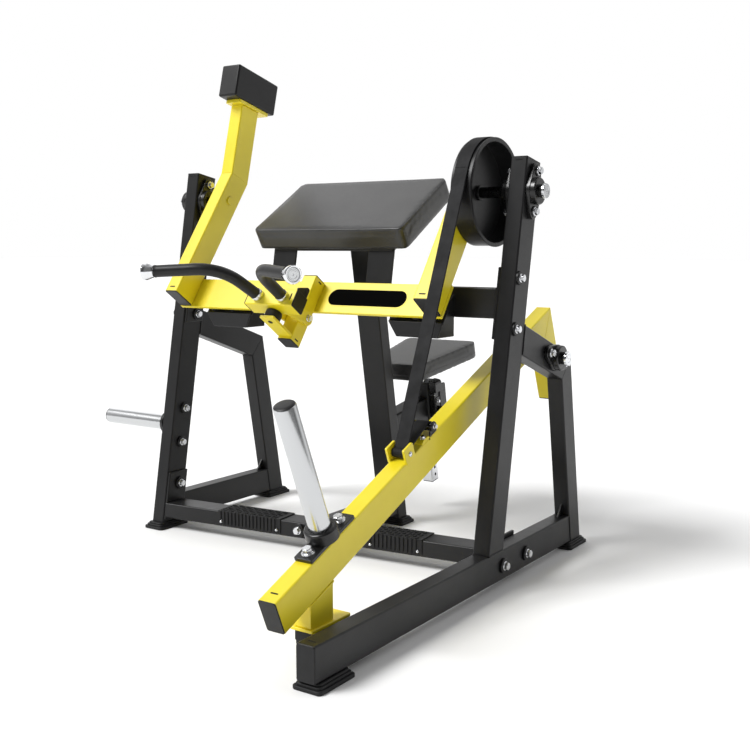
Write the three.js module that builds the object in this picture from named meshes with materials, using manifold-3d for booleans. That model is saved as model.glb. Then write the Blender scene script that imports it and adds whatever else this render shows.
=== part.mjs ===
// Plate-loaded seated arm-curl machine.
// Millimetres, +Z up, +X towards the drum and lever side, +Y from the lever's nose to the seat.
// Inside the machine group X = 0 is the middle plane between the two side frames, Y = 0 is the front
// end of the long base beam and Z = 0 is the floor. The exported group is then centred on its own box.
import * as THREE from 'three';
import { mergeVertices } from 'three/addons/utils/BufferGeometryUtils.js';
import Module from 'manifold-3d';

const wasm = await Module();
wasm.setup();

// ---- driving dimensions ------------------------------------------------------------------------
const GAP = 0.3;                  // between touching pieces
const WALL = 3;                   // tube wall
const TUBE = 47;                  // tube width across the side frame
const DEPTH = 80;                 // tube depth in the side frame
const OUT = 597;                  // outer face of each side frame
const INNER = OUT - TUBE;         // inner face of each side frame
const FOOT_TOP = 20;
const BEAM_TOP = FOOT_TOP + DEPTH;
const LEAN = 10.1;                // degrees, uprights lean back and rear legs lean forward
const UPRIGHT_FOOT = [724, 100];  // front edge of an upright at the base beam's top
const UPRIGHT_TOP = [904, 1111];  // front edge at its top
const RAIL_BACK = [1207, 574];    // outer corner where a top rail meets its rear leg
const RAIL_SLOPE = 19.55;
const LEG_DEPTH = 68;
const BEAM_BORE = 18;             // clearance hole for a shaft
const SHAFT = 15;                 // shaft radius
const BEARING_BORE = 15.6;
const PIVOT = [932, 1024];        // yoke axis
const ARM_LEAN = 35.4;            // degrees from vertical, lower arms of the yoke
const UPPER_LEAN = 14;            // degrees from vertical, upper left arm
const KNEE = [983.5, 1098.5];     // middle of the left arm's bend
const ARM_TOP = [1038.5, 1318.5]; // middle of the left arm's top end
const LEFT_ARM = [-493, -446];
const RIGHT_ARM = [387, 434];
const ARM_LOW = -362;             // low end of the arms along them, from the pivot
const PLATE_SPAN = [-367, -267];  // cross plate along the arms
const PLATE_BACK = 50;            // back face of the cross plate behind the arms' middle line
const DRUM_R = 140;
const DRUM_X = [434.3, 495];
const BELT_WIDTH = 38;
const BELT_THICK = 4.5;
const BELT_X = 463;               // middle of the belt on the drum
const LEVER_PIVOT = [1095, 577];
const LEVER_SLOPE = 22.7;
const LEVER_X = [450, 497];
const LEVER_TOP = 45;
const LEVER_NOSE = -1169.5;       // outer face of the front end cap along the lever
const TAIL = [141, 221];          // tail tube along the lever
const TAIL_END = -221;
const SLEEVE_AT = -956;           // weight sleeve along the lever
const SLEEVE_R = 25;
const BELT_PIN = [-620, 60];      // belt pin in the lever's own axes
const SEAT_BASE = [1428, 97];     // low end of the seat post
const SEAT_LEAN = 10.2;
const SEAT_TOP = 453.4;           // seat surface along the post
const SEAT_THICK = 55;
const PAD_FRONT = [827, 929];     // top front edge of the arm pad
const PAD_SLOPE = 31.3;
const PAD = { half: 262, long: 287, thick: 64, board: 8 };
const MID_BEAM = { y: [850, 897], z: [696, 776] };
const LOW_TUBE = [36, 83];        // height of the flat base tubes
const CROSSBAR_Y = { left: 754, right: 870 };
const CENTRE_HALF = 40;
const CENTRE_DEPTH = 47;
const POST_FRONT = [1050, 671];   // a point on the centre post's front face
const POST_LEAN = 10.2;

// ---- colours -----------------------------------------------------------------------------------
const finish = (color, roughness, metalness) => () =>
  new THREE.MeshStandardMaterial({ color, roughness, metalness });
const black = finish(0x1c1d1f, 0.45, 0.3);
const yellow = finish(0xf2df10, 0.4, 0.1);
const chrome = finish(0xd8dadc, 0.15, 1);
const rubber = finish(0x141414, 0.85, 0);
const leather = finish(0x242424, 0.6, 0);
const webbing = finish(0x26272a, 0.7, 0);

// ---- geometry helpers --------------------------------------------------------------------------
const rad = THREE.MathUtils.degToRad;
const Y_TO_X = new THREE.Matrix4().makeBasis(
  new THREE.Vector3(0, 1, 0), new THREE.Vector3(0, 0, 1), new THREE.Vector3(1, 0, 0));

// A flat outline [[y, z], ...] drawn out along X.
function sideExtrude(outline, x0, x1, curveSegments = 8) {
  const shape = outline instanceof THREE.Shape
    ? outline
    : new THREE.Shape(outline.map(([y, z]) => new THREE.Vector2(y, z)));
  const geometry = new THREE.ExtrudeGeometry(shape, { depth: x1 - x0, bevelEnabled: false, curveSegments });
  return geometry.applyMatrix4(Y_TO_X).translate(x0, 0, 0);
}

// A flat outline [[x, y], ...] drawn out along Z.
function planExtrude(outline, z0, z1) {
  const shape = new THREE.Shape(outline.map(([x, y]) => new THREE.Vector2(x, y)));
  const geometry = new THREE.ExtrudeGeometry(shape, { depth: z1 - z0, bevelEnabled: false });
  return geometry.translate(0, 0, z0);
}

function box([x0, x1], [y0, y1], [z0, z1]) {
  const geometry = new THREE.BoxGeometry(x1 - x0, y1 - y0, z1 - z0);
  return geometry.translate((x0 + x1) / 2, (y0 + y1) / 2, (z0 + z1) / 2);
}

// A turned piece about X: the profile is [[radius, x], ...].
function turnedX(profile, [y, z], segments = 24) {
  const points = profile.map(([r, x]) => new THREE.Vector2(r, x));
  return new THREE.LatheGeometry(points, segments).rotateZ(-Math.PI / 2).translate(0, y, z);
}

// A turned piece about Z: the profile is [[radius, z], ...].
function turnedZ(profile, [x, y], segments = 24) {
  const points = profile.map(([r, z]) => new THREE.Vector2(r, z));
  return new THREE.LatheGeometry(points, segments).rotateX(Math.PI / 2).translate(x, y, 0);
}

const rodProfile = (radius, a, b) => [[0, a], [radius, a], [radius, b], [0, b]];
const ringProfile = (inner, outer, a, b) => [[inner, a], [outer, a], [outer, b], [inner, b], [inner, a]];
const rodX = (radius, [x0, x1], at, segments) => turnedX(rodProfile(radius, x0, x1), at, segments);
const rodZ = (radius, [z0, z1], at, segments) => turnedZ(rodProfile(radius, z0, z1), at, segments);

function toSolid(geometry) {
  const plain = geometry.clone();
  plain.deleteAttribute('normal');
  plain.deleteAttribute('uv');
  const merged = mergeVertices(plain, 1e-3);
  const vertProperties = new Float32Array(merged.attributes.position.array);
  const corners = merged.index.array;
  const used = [];
  for (let i = 0; i < corners.length; i += 3) {
    const [a, b, c] = [corners[i], corners[i + 1], corners[i + 2]];
    if (a !== b && b !== c && a !== c) used.push(a, b, c);
  }
  const mesh = new wasm.Mesh({ numProp: 3, vertProperties, triVerts: new Uint32Array(used) });
  return new wasm.Manifold(mesh);
}

function toGeometry(solid) {
  const mesh = solid.getMesh();
  const geometry = new THREE.BufferGeometry();
  geometry.setAttribute('position', new THREE.BufferAttribute(new Float32Array(mesh.vertProperties), 3));
  geometry.setIndex(new THREE.BufferAttribute(new Uint32Array(mesh.triVerts), 1));
  const flat = geometry.toNonIndexed();
  flat.computeVertexNormals();
  return flat;
}

function cut(body, ...tools) {
  return toGeometry(tools.reduce((solid, tool) => solid.subtract(toSolid(tool)), toSolid(body)));
}

function join(body, ...others) {
  return toGeometry(others.reduce((solid, other) => solid.add(toSolid(other)), toSolid(body)));
}

function common(body, other) {
  return toGeometry(toSolid(body).intersect(toSolid(other)));
}

// A face of a straight-sided piece seen from the side: the outward normal stands at `angle` degrees
// from +Y towards +Z. An open face is a tube end.
function face([y, z], angle, open = false) {
  const [ny, nz] = [Math.cos(rad(angle)), Math.sin(rad(angle))];
  return { ny, nz, reach: y * ny + z * nz, open };
}
const shifted = (f, by) => ({ ...f, reach: f.reach + by });
const opened = (f) => ({ ...f, open: true });
// The mating face of a neighbour, one gap away.
const against = (f) => ({ ny: -f.ny, nz: -f.nz, reach: -f.reach - GAP, open: true });

function meet(a, b) {
  const det = a.ny * b.nz - a.nz * b.ny;
  return [(a.reach * b.nz - b.reach * a.nz) / det, (b.reach * a.ny - a.reach * b.ny) / det];
}
const corners = (ring) => ring.map((f, i) => meet(f, ring[(i + 1) % ring.length]));

// A face through two corners, with its outward normal to the right of the way from p to q.
function faceThrough(p, q) {
  const angle = THREE.MathUtils.radToDeg(Math.atan2(q[1] - p[1], q[0] - p[0])) - 90;
  return face(p, angle, true);
}

// A hollow tube with its faces in order around it.
function tube(ring, [x0, x1]) {
  const inside = ring.map((f) => shifted(f, f.open ? 5 : -WALL));
  return cut(sideExtrude(corners(ring), x0, x1), sideExtrude(corners(inside), x0 + WALL, x1 - WALL));
}

// A box-section tube along X, open at both ends.
function tubeX([x0, x1], [y0, y1], [z0, z1]) {
  const inside = box([x0 - 5, x1 + 5], [y0 + WALL, y1 - WALL], [z0 + WALL, z1 - WALL]);
  return cut(box([x0, x1], [y0, y1], [z0, z1]), inside);
}

// An oval two-bolt flange outline about the origin, long way along +Z.
function ovalFlange(spacing, endR, midR) {
  const d = spacing / 2;
  const tangent = Math.acos((midR - endR) / d);
  const up = Math.PI / 2;
  const shape = new THREE.Shape();
  shape.absarc(0, d, endR, up - tangent, up + tangent, false);
  shape.absarc(0, 0, midR, up + tangent, 3 * up - tangent, false);
  shape.absarc(0, -d, endR, 3 * up - tangent, 3 * up + tangent, false);
  shape.absarc(0, 0, midR, 3 * up + tangent, 5 * up - tangent, false);
  return shape;
}

// ---- scene helpers -----------------------------------------------------------------------------
const machine = new THREE.Group();
function framed([y, z], tilt) {
  const group = new THREE.Group();
  group.position.set(0, y, z);
  group.rotation.x = rad(tilt);
  machine.add(group);
  return group;
}
const armFrame = framed(PIVOT, -ARM_LEAN);        // +Z along the arms, +Y behind them
const upperFrame = framed(ARM_TOP, -UPPER_LEAN);  // +Z along the upper left arm
const leverFrame = framed(LEVER_PIVOT, LEVER_SLOPE);
const seatFrame = framed(SEAT_BASE, SEAT_LEAN);   // +Z along the seat post
const padFrame = framed(PAD_FRONT, PAD_SLOPE);    // +Y up the pad's surface, +Z off it

function add(name, geometry, material, group = machine) {
  const mesh = new THREE.Mesh(geometry, material());
  mesh.name = name;
  group.add(mesh);
  return mesh;
}

// ---- side frames -------------------------------------------------------------------------------
const side = {
  uprightFront: face(UPRIGHT_FOOT, 180 - LEAN),
  uprightTop: face(UPRIGHT_TOP, 90 - LEAN, true),
  railTop: face(RAIL_BACK, 90 - RAIL_SLOPE),
  legRear: face(RAIL_BACK, LEAN),
  beamTop: face([0, BEAM_TOP], 90),
  floor: face([0, FOOT_TOP + GAP], -90, true),
};
const opposite = (f, depth) => ({ ...f, ny: -f.ny, nz: -f.nz, reach: depth - f.reach });
side.uprightBack = opposite(side.uprightFront, DEPTH);
side.railBottom = opposite(side.railTop, DEPTH - 1);
side.legFront = opposite(side.legRear, LEG_DEPTH);
side.mitre = faceThrough(meet(side.legFront, side.railBottom), meet(side.railTop, side.legRear));

const LEFT = [-OUT, -INNER];
const RIGHT = [INNER, OUT];
const shaftHole = (radius, at) => rodX(radius, [-OUT - 10, OUT + 10], at);

function uprightRing(bottom) {
  return [side.uprightFront, bottom, side.uprightBack, side.uprightTop];
}

function topRail(span, hole) {
  const ring = [against(side.uprightBack), side.railBottom, side.mitre, side.railTop];
  const rail = tube(ring, span);
  return hole ? cut(rail, shaftHole(BEAM_BORE, LEVER_PIVOT)) : rail;
}

function rearLeg(span) {
  return tube([side.legFront, side.floor, side.legRear, against(side.mitre)], span);
}

function baseBeam(front, span) {
  const bottom = { ...side.floor, open: false };
  return tube([front, bottom, against(side.legFront), side.beamTop], span);
}

function buildSideFrames() {
  const right = tube(uprightRing(against(side.beamTop)), RIGHT);
  const left = tube(uprightRing(side.floor), LEFT);
  add('right_base_beam', baseBeam(face([0, 0], 180, true), RIGHT), black);
  add('right_upright', cut(right, shaftHole(BEAM_BORE, PIVOT)), black);
  add('right_top_rail', topRail(RIGHT, true), black);
  add('right_rear_leg', rearLeg(RIGHT), black);
  add('left_base_beam', baseBeam(against(side.uprightBack), LEFT), black);
  add('left_upright', cut(left, shaftHole(BEAM_BORE, PIVOT)), black);
  add('left_top_rail', topRail(LEFT, false), black);
  add('left_rear_leg', rearLeg(LEFT), black);
}

// ---- feet --------------------------------------------------------------------------------------
function buildFeet() {
  const half = 37.5;
  const rightX = OUT - TUBE / 2;
  const feet = {
    foot_right_front: [rightX, [-2, 123]],
    foot_right_rear: [rightX, [1207, 1328]],
    foot_left_front: [-rightX, [687, 811]],
    foot_left_rear: [-rightX, [1211, 1332]],
    foot_centre: [0, [1156, 1234]],
  };
  for (const [name, [x, [y0, y1]]] of Object.entries(feet)) {
    const reach = name === 'foot_centre' ? 58 : half;
    const shoulder = FOOT_TOP - 6;
    const sole = [[y0, 0], [y1, 0], [y1, shoulder], [y1 - 6, FOOT_TOP],
      [y0 + 6, FOOT_TOP], [y0, shoulder]];
    add(name, sideExtrude(sole, x - reach, x + reach), rubber);
  }
}

// ---- cross members -----------------------------------------------------------------------------
const CROSS_SLOPE = (CROSSBAR_Y.right - CROSSBAR_Y.left) / (2 * INNER);
const crossbarY = (x) => (CROSSBAR_Y.left + CROSSBAR_Y.right) / 2 + x * CROSS_SLOPE;
const CROSS_HALF = CENTRE_HALF / Math.cos(Math.atan(CROSS_SLOPE));

// An end plate that follows an upright, between two heights.
function leaningPlate(inset, z0, z1, x0, x1) {
  const ring = [shifted(side.uprightFront, -inset), face([0, z0], -90), shifted(side.uprightBack, -inset),
    face([0, z1], 90)];
  return sideExtrude(corners(ring), x0, x1);
}

function buildMidBeam() {
  const end = INNER - GAP;
  const plate = 8;
  const body = box([-end, end], MID_BEAM.y, MID_BEAM.z);
  const plates = [-1, 1].map((s) => leaningPlate(4, 645, 830, Math.min(s * end, s * (end - plate)),
    Math.max(s * end, s * (end - plate))));
  const hollow = box([-OUT, OUT], [MID_BEAM.y[0] + WALL, MID_BEAM.y[1] - WALL],
    [MID_BEAM.z[0] + WALL, MID_BEAM.z[1] - WALL]);
  add('mid_beam', cut(join(body, ...plates), hollow), black);
}

function buildLowerCrossbar() {
  const end = INNER - GAP;
  const outline = (grow, half) => [[-grow, crossbarY(-grow) - half], [grow, crossbarY(grow) - half],
    [grow, crossbarY(grow) + half], [-grow, crossbarY(-grow) + half]];
  const body = planExtrude(outline(end, CROSS_HALF), ...LOW_TUBE);
  const hollow = planExtrude(outline(OUT, CROSS_HALF - WALL), LOW_TUBE[0] + WALL, LOW_TUBE[1] - WALL);
  const leftPlate = leaningPlate(2, 30, 175, -end, -end + 8);
  const rightPlate = box([end - 8, end], [780, 960], [26, 110]);
  add('lower_crossbar', cut(join(body, leftPlate, rightPlate), hollow), black);
}

// The diamond-topped foot plates fold over the front and top of the lower crossbar.
function buildFootRests() {
  const spans = { foot_rest_left: [-341, -117], foot_rest_right: [172, 343] };
  const skin = 3;
  for (const [name, [x0, x1]] of Object.entries(spans)) {
    const outline = (front, back) => [[x0, crossbarY(x0) - front], [x1, crossbarY(x1) - front],
      [x1, crossbarY(x1) + back], [x0, crossbarY(x0) + back]];
    const top = LOW_TUBE[1] + GAP;
    const outer = planExtrude(outline(CROSS_HALF + GAP + skin, CROSS_HALF), LOW_TUBE[0] + 4, top + skin);
    const [a, b] = [x0 - 5, x1 + 5];
    const inside = [[a, crossbarY(a) - CROSS_HALF - GAP], [b, crossbarY(b) - CROSS_HALF - GAP],
      [b, crossbarY(b) + 90], [a, crossbarY(a) + 90]];
    const inner = planExtrude(inside, 0, top);
    add(name, cut(outer, inner), rubber);
  }
}

const postFront = face(POST_FRONT, 180 + POST_LEAN);
const postBack = opposite(postFront, CENTRE_DEPTH);
const padUnder = shifted(face(PAD_FRONT, PAD_SLOPE + 90), -PAD.thick - GAP);
const boardUnder = shifted(padUnder, -PAD.board);

function buildCentre() {
  const boardFace = opened(shifted(boardUnder, -GAP));
  const postSpan = [-CENTRE_HALF, CENTRE_HALF];
  add('centre_post', tube([postFront, side.floor, postBack, boardFace], postSpan), black);
  const reach = crossbarY(0) + CROSS_HALF;
  const skew = CENTRE_HALF * CROSS_SLOPE;
  const plan = (half, front) => [[-half, reach - skew + front], [half, reach + skew + front],
    [half, 1300], [-half, 1300]];
  const rear = against(postFront);
  const trim = (f) => {
    const outline = corners([face([0, 0], 180), face([0, 0], -90), f, face([0, 200], 90)]);
    return sideExtrude(outline, -60, 60);
  };
  const outer = common(planExtrude(plan(CENTRE_HALF, GAP), ...LOW_TUBE), trim(rear));
  const inner = planExtrude(plan(CENTRE_HALF - WALL, -60), LOW_TUBE[0] + WALL, LOW_TUBE[1] - WALL);
  add('centre_base_beam', cut(outer, inner), black);
}

// ---- arm pad -----------------------------------------------------------------------------------
function buildPad() {
  add('arm_pad', box([-PAD.half, PAD.half], [0, PAD.long], [-PAD.thick, 0]), leather, padFrame);
  const at = (along, down) => {
    const [c, s] = [Math.cos(rad(PAD_SLOPE)), Math.sin(rad(PAD_SLOPE))];
    return [PAD_FRONT[0] + along * c + down * s, PAD_FRONT[1] + along * s - down * c];
  };
  const high = PAD.thick + GAP;
  const low = high + PAD.board;
  const board = sideExtrude([at(4, low), at(250, low), at(250, high), at(4, high)], -215, 215);
  const [footY, footZ] = [MID_BEAM.y[0], MID_BEAM.z[1] + GAP];
  const [headY, headZ] = at(9, low - 2);
  const leg = (x0, x1) => sideExtrude([[footY, footZ], [footY + 8, footZ], [headY + 6, headZ + 3],
    [headY - 2, headZ]], x0, x1);
  add('pad_frame', join(board, leg(130, 213), leg(-213, -130)), black);
}

// ---- yoke rest stops ---------------------------------------------------------------------------
const STOP_FACE = PLATE_BACK + 12;  // front face of a stop plate behind the arms' middle line

// A stop is a pan of bent plate. Its leaning plate stands behind the yoke's cross plate, an upright
// face hangs from that, and a floor and two side webs run back to a base plate on the mid beam.
function buildRestStops() {
  const stops = {
    left: { top: [-396, -221], low: [-366, -240], base: [-360, -256], buffers: [-368, -294] },
    right: { top: [262, 431], low: [288, 417], base: [312, 392], buffers: [276, 348] },
  };
  const front = 764;
  const under = 645;
  const back = MID_BEAM.y[0] - GAP;
  for (const [name, stop] of Object.entries(stops)) {
    const [t0, t1] = stop.top;
    const [l0, l1] = stop.low;
    const leaning = box(stop.top, [STOP_FACE, STOP_FACE + 8], [-374, -330]);
    leaning.rotateX(-rad(ARM_LEAN)).translate(0, ...PIVOT);
    const corners = [[l0, under], [l1, under], [t1, 686], [t0, 686]];
    const outline = corners.map(([x, z]) => new THREE.Vector2(x, z));
    const hanging = new THREE.ExtrudeGeometry(new THREE.Shape(outline), { depth: 6, bevelEnabled: false });
    hanging.rotateX(Math.PI / 2).translate(0, front + 6, 0);
    const floor = box(stop.low, [front, back], [under, under + 6]);
    const side = [[front, under], [back, under], [back, 757], [792, 712], [front, 680]];
    const webs = [l0, l1 - 5].map((x) => sideExtrude(side, x, x + 5));
    const base = box(stop.base, [back - 8, back], [under + 5, 770]);
    add(`rest_stop_${name}`, join(leaning, hanging, floor, ...webs, base), black);
    const [b0, b1] = stop.buffers;
    const pad = new THREE.Shape();
    pad.absarc(b1, -352, 15, -Math.PI / 2, Math.PI / 2, false);
    pad.absarc(b0, -352, 15, Math.PI / 2, 1.5 * Math.PI, false);
    const thick = STOP_FACE - PLATE_BACK - 2 * GAP;
    const buffer = new THREE.ExtrudeGeometry(pad, { depth: thick, bevelEnabled: false, curveSegments: 8 });
    buffer.rotateX(Math.PI / 2).translate(0, STOP_FACE - GAP, 0);
    add(`rest_buffer_${name}`, buffer, rubber, armFrame);
  }
}

// ---- plate storage horn and lever bumper -------------------------------------------------------
function buildHornAndBumper() {
  const at = [800, 322];
  const profile = [[0, -875], [SLEEVE_R, -875], [SLEEVE_R, -OUT - 12], [37.5, -OUT - 12],
    [37.5, -OUT - GAP], [0, -OUT - GAP]];
  add('storage_horn', turnedX(profile, at), chrome);
  add('lever_bumper', box([INNER - 100, INNER - GAP], [117, 249], [30, 69.5]), rubber);
}

// ---- bearings ----------------------------------------------------------------------------------
// The outer end of a shaft, clear of its bearing's nose: the journal and a flat round head.
const SHAFT_HEAD = [[SHAFT, OUT + 35], [20, OUT + 35], [20, OUT + 43], [0, OUT + 43]];

// A two-bolt flanged bearing whose flange sits at x0 and whose nose reaches x1.
function bearing([x0, x1], [y, z], tilt) {
  const away = Math.sign(x1 - x0);
  const plate = x0 + away * 12;
  const flange = sideExtrude(ovalFlange(106, 20, 37), Math.min(x0, plate), Math.max(x0, plate), 5);
  flange.rotateX(rad(tilt)).translate(0, y, z);
  const overlap = x0 + away * 6;
  const nose = rodX(35, [Math.min(overlap, x1), Math.max(overlap, x1)], [y, z]);
  const bore = rodX(BEARING_BORE, [Math.min(x0, x1) - 5, Math.max(x0, x1) + 5], [y, z]);
  return cut(join(flange, nose), bore);
}

function buildBearings() {
  const out = OUT + GAP;
  const inn = INNER - GAP;
  add('yoke_bearing_right_outer', bearing([out, out + 28], PIVOT, -LEAN), black);
  add('yoke_bearing_right_inner', bearing([inn, inn - 28], PIVOT, -LEAN), black);
  add('yoke_bearing_left_inner', bearing([-inn, -inn + 28], PIVOT, -LEAN), black);
  add('yoke_bearing_left_outer', bearing([-out, -out - 28], PIVOT, -LEAN), black);
  add('lever_bearing', bearing([out, out + 28], LEVER_PIVOT, 90 - RAIL_SLOPE), black);
}

// ---- yoke --------------------------------------------------------------------------------------
const armAxis = 90 - ARM_LEAN;  // direction of the arms, degrees from +Y
const alongArm = (e, n) => {
  const [c, s] = [Math.cos(rad(armAxis)), Math.sin(rad(armAxis))];
  return [PIVOT[0] + e * c - n * s, PIVOT[1] + e * s + n * c];
};
const armFront = face(alongArm(0, DEPTH / 2), armAxis + 90);
const armBack = face(alongArm(0, -DEPTH / 2), armAxis - 90);
const armLow = face(alongArm(ARM_LOW, 0), armAxis + 180, true);

function buildArms() {
  const upperAxis = 90 - UPPER_LEAN;
  const upperFront = shifted(face(ARM_TOP, upperAxis + 90), DEPTH / 2);
  const upperBack = shifted(face(ARM_TOP, upperAxis - 90), DEPTH / 2);
  const upperEnd = face(ARM_TOP, upperAxis, true);
  const left = tube([armFront, armLow, armBack, upperBack, upperEnd, upperFront], LEFT_ARM);
  const plate = sideExtrude([[-60, -1], [80, -1], [80, 10.5], [-60, 10.5]], -500, -439);
  plate.rotateX(-rad(UPPER_LEAN)).translate(0, ...ARM_TOP);
  add('left_arm', join(cut(left, rodX(SHAFT + GAP, [-500, -440], PIVOT)), plate), yellow);
  const topEnd = face(alongArm(45, 0), armAxis, true);
  add('right_arm', tube([armFront, armLow, armBack, topEnd], RIGHT_ARM), yellow);
}

function buildYoke() {
  buildArms();
  const back = [DEPTH / 2 + GAP, PLATE_BACK];
  add('cross_plate', box([LEFT_ARM[0], RIGHT_ARM[1]], back, PLATE_SPAN), yellow, armFrame);
  add('counterweight', box([-506, -433], [-91, 102], [11, 111.5]), black, upperFrame);
  const bore = SHAFT + GAP;
  const [d0, d1] = DRUM_X;
  const drum = [[bore, d0], [DRUM_R, d0], [DRUM_R, d1 - 4], [DRUM_R + 3, d1 - 4], [DRUM_R + 3, d1],
    [DRUM_R - 8, d1], [DRUM_R - 8, d0 + 6], [20, d0 + 6], [20, d0 + 16], [bore, d0 + 16], [bore, d0]];
  add('drum', turnedX(drum, PIVOT, 48), black);
  add('drum_shaft', turnedX([[0, d0], [SHAFT, d0], ...SHAFT_HEAD], PIVOT), chrome);
  const stub = [...SHAFT_HEAD.map(([r, x]) => [r, -x]).reverse(), [SHAFT, -442], [0, -442]];
  add('left_shaft', turnedX(stub, PIVOT), chrome);
  buildCarrier();
}

const HANDLE_HINGE = [18, -402];  // [behind the arms' middle line, along the arms]

function buildCarrier() {
  const half = TUBE / 2;
  const z = [-483, -278];
  const stopZ = [-477, -470];
  const y = [-7, DEPTH / 2];
  const shell = cut(box([-half, half], y, z),
    box([-half + WALL, half - WALL], [y[0] + WALL, y[1] - WALL], [z[0] - 5, z[1] + 5]));
  const stop = box([-half, half], [-103, y[0] + 1], stopZ);
  const hinge = rodX(8.4, [-half - 5, half + 5], HANDLE_HINGE, 16);
  add('handle_carrier', cut(join(shell, stop), hinge), yellow, armFrame);
  add('handle_buffer', rodZ(23, [stopZ[1] + GAP, -445 - GAP], [0, -80]), rubber, armFrame);
}

// The belt leaves the drum along the tangent that runs down to the belt pin.
function beltRun() {
  const [c, s] = [Math.cos(rad(LEVER_SLOPE)), Math.sin(rad(LEVER_SLOPE))];
  const [e, n] = BELT_PIN;
  const pin = [LEVER_PIVOT[0] + e * c - n * s, LEVER_PIVOT[1] + e * s + n * c];
  const r = DRUM_R + GAP + BELT_THICK / 2;
  const [dy, dz] = [PIVOT[0] - pin[0], PIVOT[1] - pin[1]];
  const far = Math.hypot(dy, dz);
  const angle = Math.atan2(dz, dy) + Math.asin(r / far);
  return { pin, angle, free: Math.sqrt(far * far - r * r) };
}

function buildBelt() {
  const run = beltRun();
  const half = BELT_WIDTH / 2;
  const thick = BELT_THICK / 2;
  const start = 14;
  const span = box([-half, half], [start, run.free - GAP], [-thick, thick]);
  const leverMiddle = (LEVER_X[0] + LEVER_X[1]) / 2;
  span.rotateZ(Math.atan((leverMiddle - BELT_X) / run.free));
  span.rotateX(run.angle).translate(leverMiddle, ...run.pin);
  add('belt_span', span, webbing);
  const from = run.angle + Math.PI / 2;
  const to = -0.42 * Math.PI;
  const [r0, r1] = [DRUM_R + GAP, DRUM_R + GAP + BELT_THICK];
  const shape = new THREE.Shape();
  shape.absarc(...PIVOT, r1, to, from, false);
  shape.absarc(...PIVOT, r0, from, to, true);
  add('belt_wrap', sideExtrude(shape, BELT_X - half, BELT_X + half, 36), webbing);
}

// ---- curl handle -------------------------------------------------------------------------------
function handlePath(side) {
  const root = new THREE.Vector3(side * 41.5, -118, -420);
  const bend = new THREE.Vector3(side * 57.8, -268, -432);
  const end = new THREE.Vector3(side * 240, -328.8, -487.8);
  const before = bend.clone().lerp(root, 0.5);
  const after = bend.clone().lerp(end, 0.38);
  return { root, before, bend, after, end };
}

function barCurve({ before, bend, after }, a, b) {
  const path = new THREE.CurvePath();
  path.add(new THREE.LineCurve3(a, before));
  path.add(new THREE.QuadraticBezierCurve3(before, bend, after));
  path.add(new THREE.LineCurve3(after, b));
  return path;
}

function pathTube(path, outer, inner, steps) {
  const shape = new THREE.Shape();
  shape.absarc(0, 0, outer, 0, 2 * Math.PI, false);
  if (inner) {
    const hole = new THREE.Path();
    hole.absarc(0, 0, inner, 0, 2 * Math.PI, true);
    shape.holes.push(hole);
  }
  return new THREE.ExtrudeGeometry(shape, { steps, extrudePath: path, curveSegments: 6 });
}

// A turned collar whose axis runs from a towards b, starting at a.
function collarAlong(a, b, profile) {
  const way = b.clone().sub(a).normalize();
  const turn = new THREE.Quaternion().setFromUnitVectors(new THREE.Vector3(0, 0, 1), way);
  return turnedZ(profile, [0, 0], 20).applyQuaternion(turn).translate(a.x, a.y, a.z);
}

function buildHandle() {
  const [y0, y1] = [-118, -68];
  const z = [-445, -395];
  const shell = tubeX([-80, 80], [y0, y1], z);
  const [hy, hz] = HANDLE_HINGE;
  const lug = new THREE.Shape();
  lug.moveTo(y1 - 1, -442);
  lug.lineTo(hy - 6, hz - 21);
  lug.absarc(hy, hz, 21, -Math.PI / 2, Math.PI / 2, false);
  lug.lineTo(y1 - 1, -398);
  const lugs = [-1, 1].map((s) => sideExtrude(lug, s > 0 ? 24.3 : -32.3, s > 0 ? 32.3 : -24.3, 8));
  const bore = rodX(8.4, [-40, 40], HANDLE_HINGE, 16);
  add('handle_block', cut(join(shell, ...lugs), bore), yellow, armFrame);
  const bolt = [[0, -42], [13, -42], [13, -33], [8, -33], [8, 33], [13, 33], [13, 42], [0, 42]];
  add('handle_pivot_bolt', turnedX(bolt, HANDLE_HINGE, 16), chrome, armFrame);
  for (const [name, s] of [['left', -1], ['right', 1]]) {
    const p = handlePath(s);
    const start = p.root.clone().lerp(p.before, -0.05);
    const core = pathTube(barCurve(p, start, p.end), 11, 0, 15);
    const root = collarAlong(start, p.bend, [[0, 0], [17.5, 0], [17.5, 15], [0, 15]]);
    const cup = [[0, -14], [19, -14], [23, -10], [23, -4], [16.5, 17], [0, 17]];
    const flare = collarAlong(p.end, p.after, cup);
    const behindBlock = box([-120, 120], [y0 - GAP, y1], [-500, -340]);
    add(`handle_bar_${name}`, cut(join(core, root, flare), behindBlock), chrome, armFrame);
    const g0 = p.root.clone().lerp(p.before, 0.2);
    const g1 = p.end.clone().lerp(p.after, 0.155);
    add(`grip_${name}`, pathTube(barCurve(p, g0, g1), 16, 11.6, 15), rubber, armFrame);
  }
}

// ---- lever -------------------------------------------------------------------------------------
const CAP = 3;

function leverRing() {
  return [
    face([LEVER_NOSE + CAP + GAP, 0], 180, true),
    face([0, LEVER_TOP - DEPTH], -90),
    face([TAIL[0], 0], 180),
    face([0, TAIL_END], -90, true),
    face([TAIL[1], 0], 0),
    face([0, LEVER_TOP], 90),
  ];
}

// The ears that hold the belt pin, one on each side of the lever.
function beltEar(x0, x1) {
  const [y, z] = BELT_PIN;
  const outline = [[y - 30, 18], [y + 30, 18], [y + 22, z + 14], [y - 12, z + 22], [y - 30, z + 6]];
  return cut(sideExtrude(outline, x0, x1), rodX(6.4, [x0 - 2, x1 + 2], BELT_PIN, 16));
}

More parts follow.
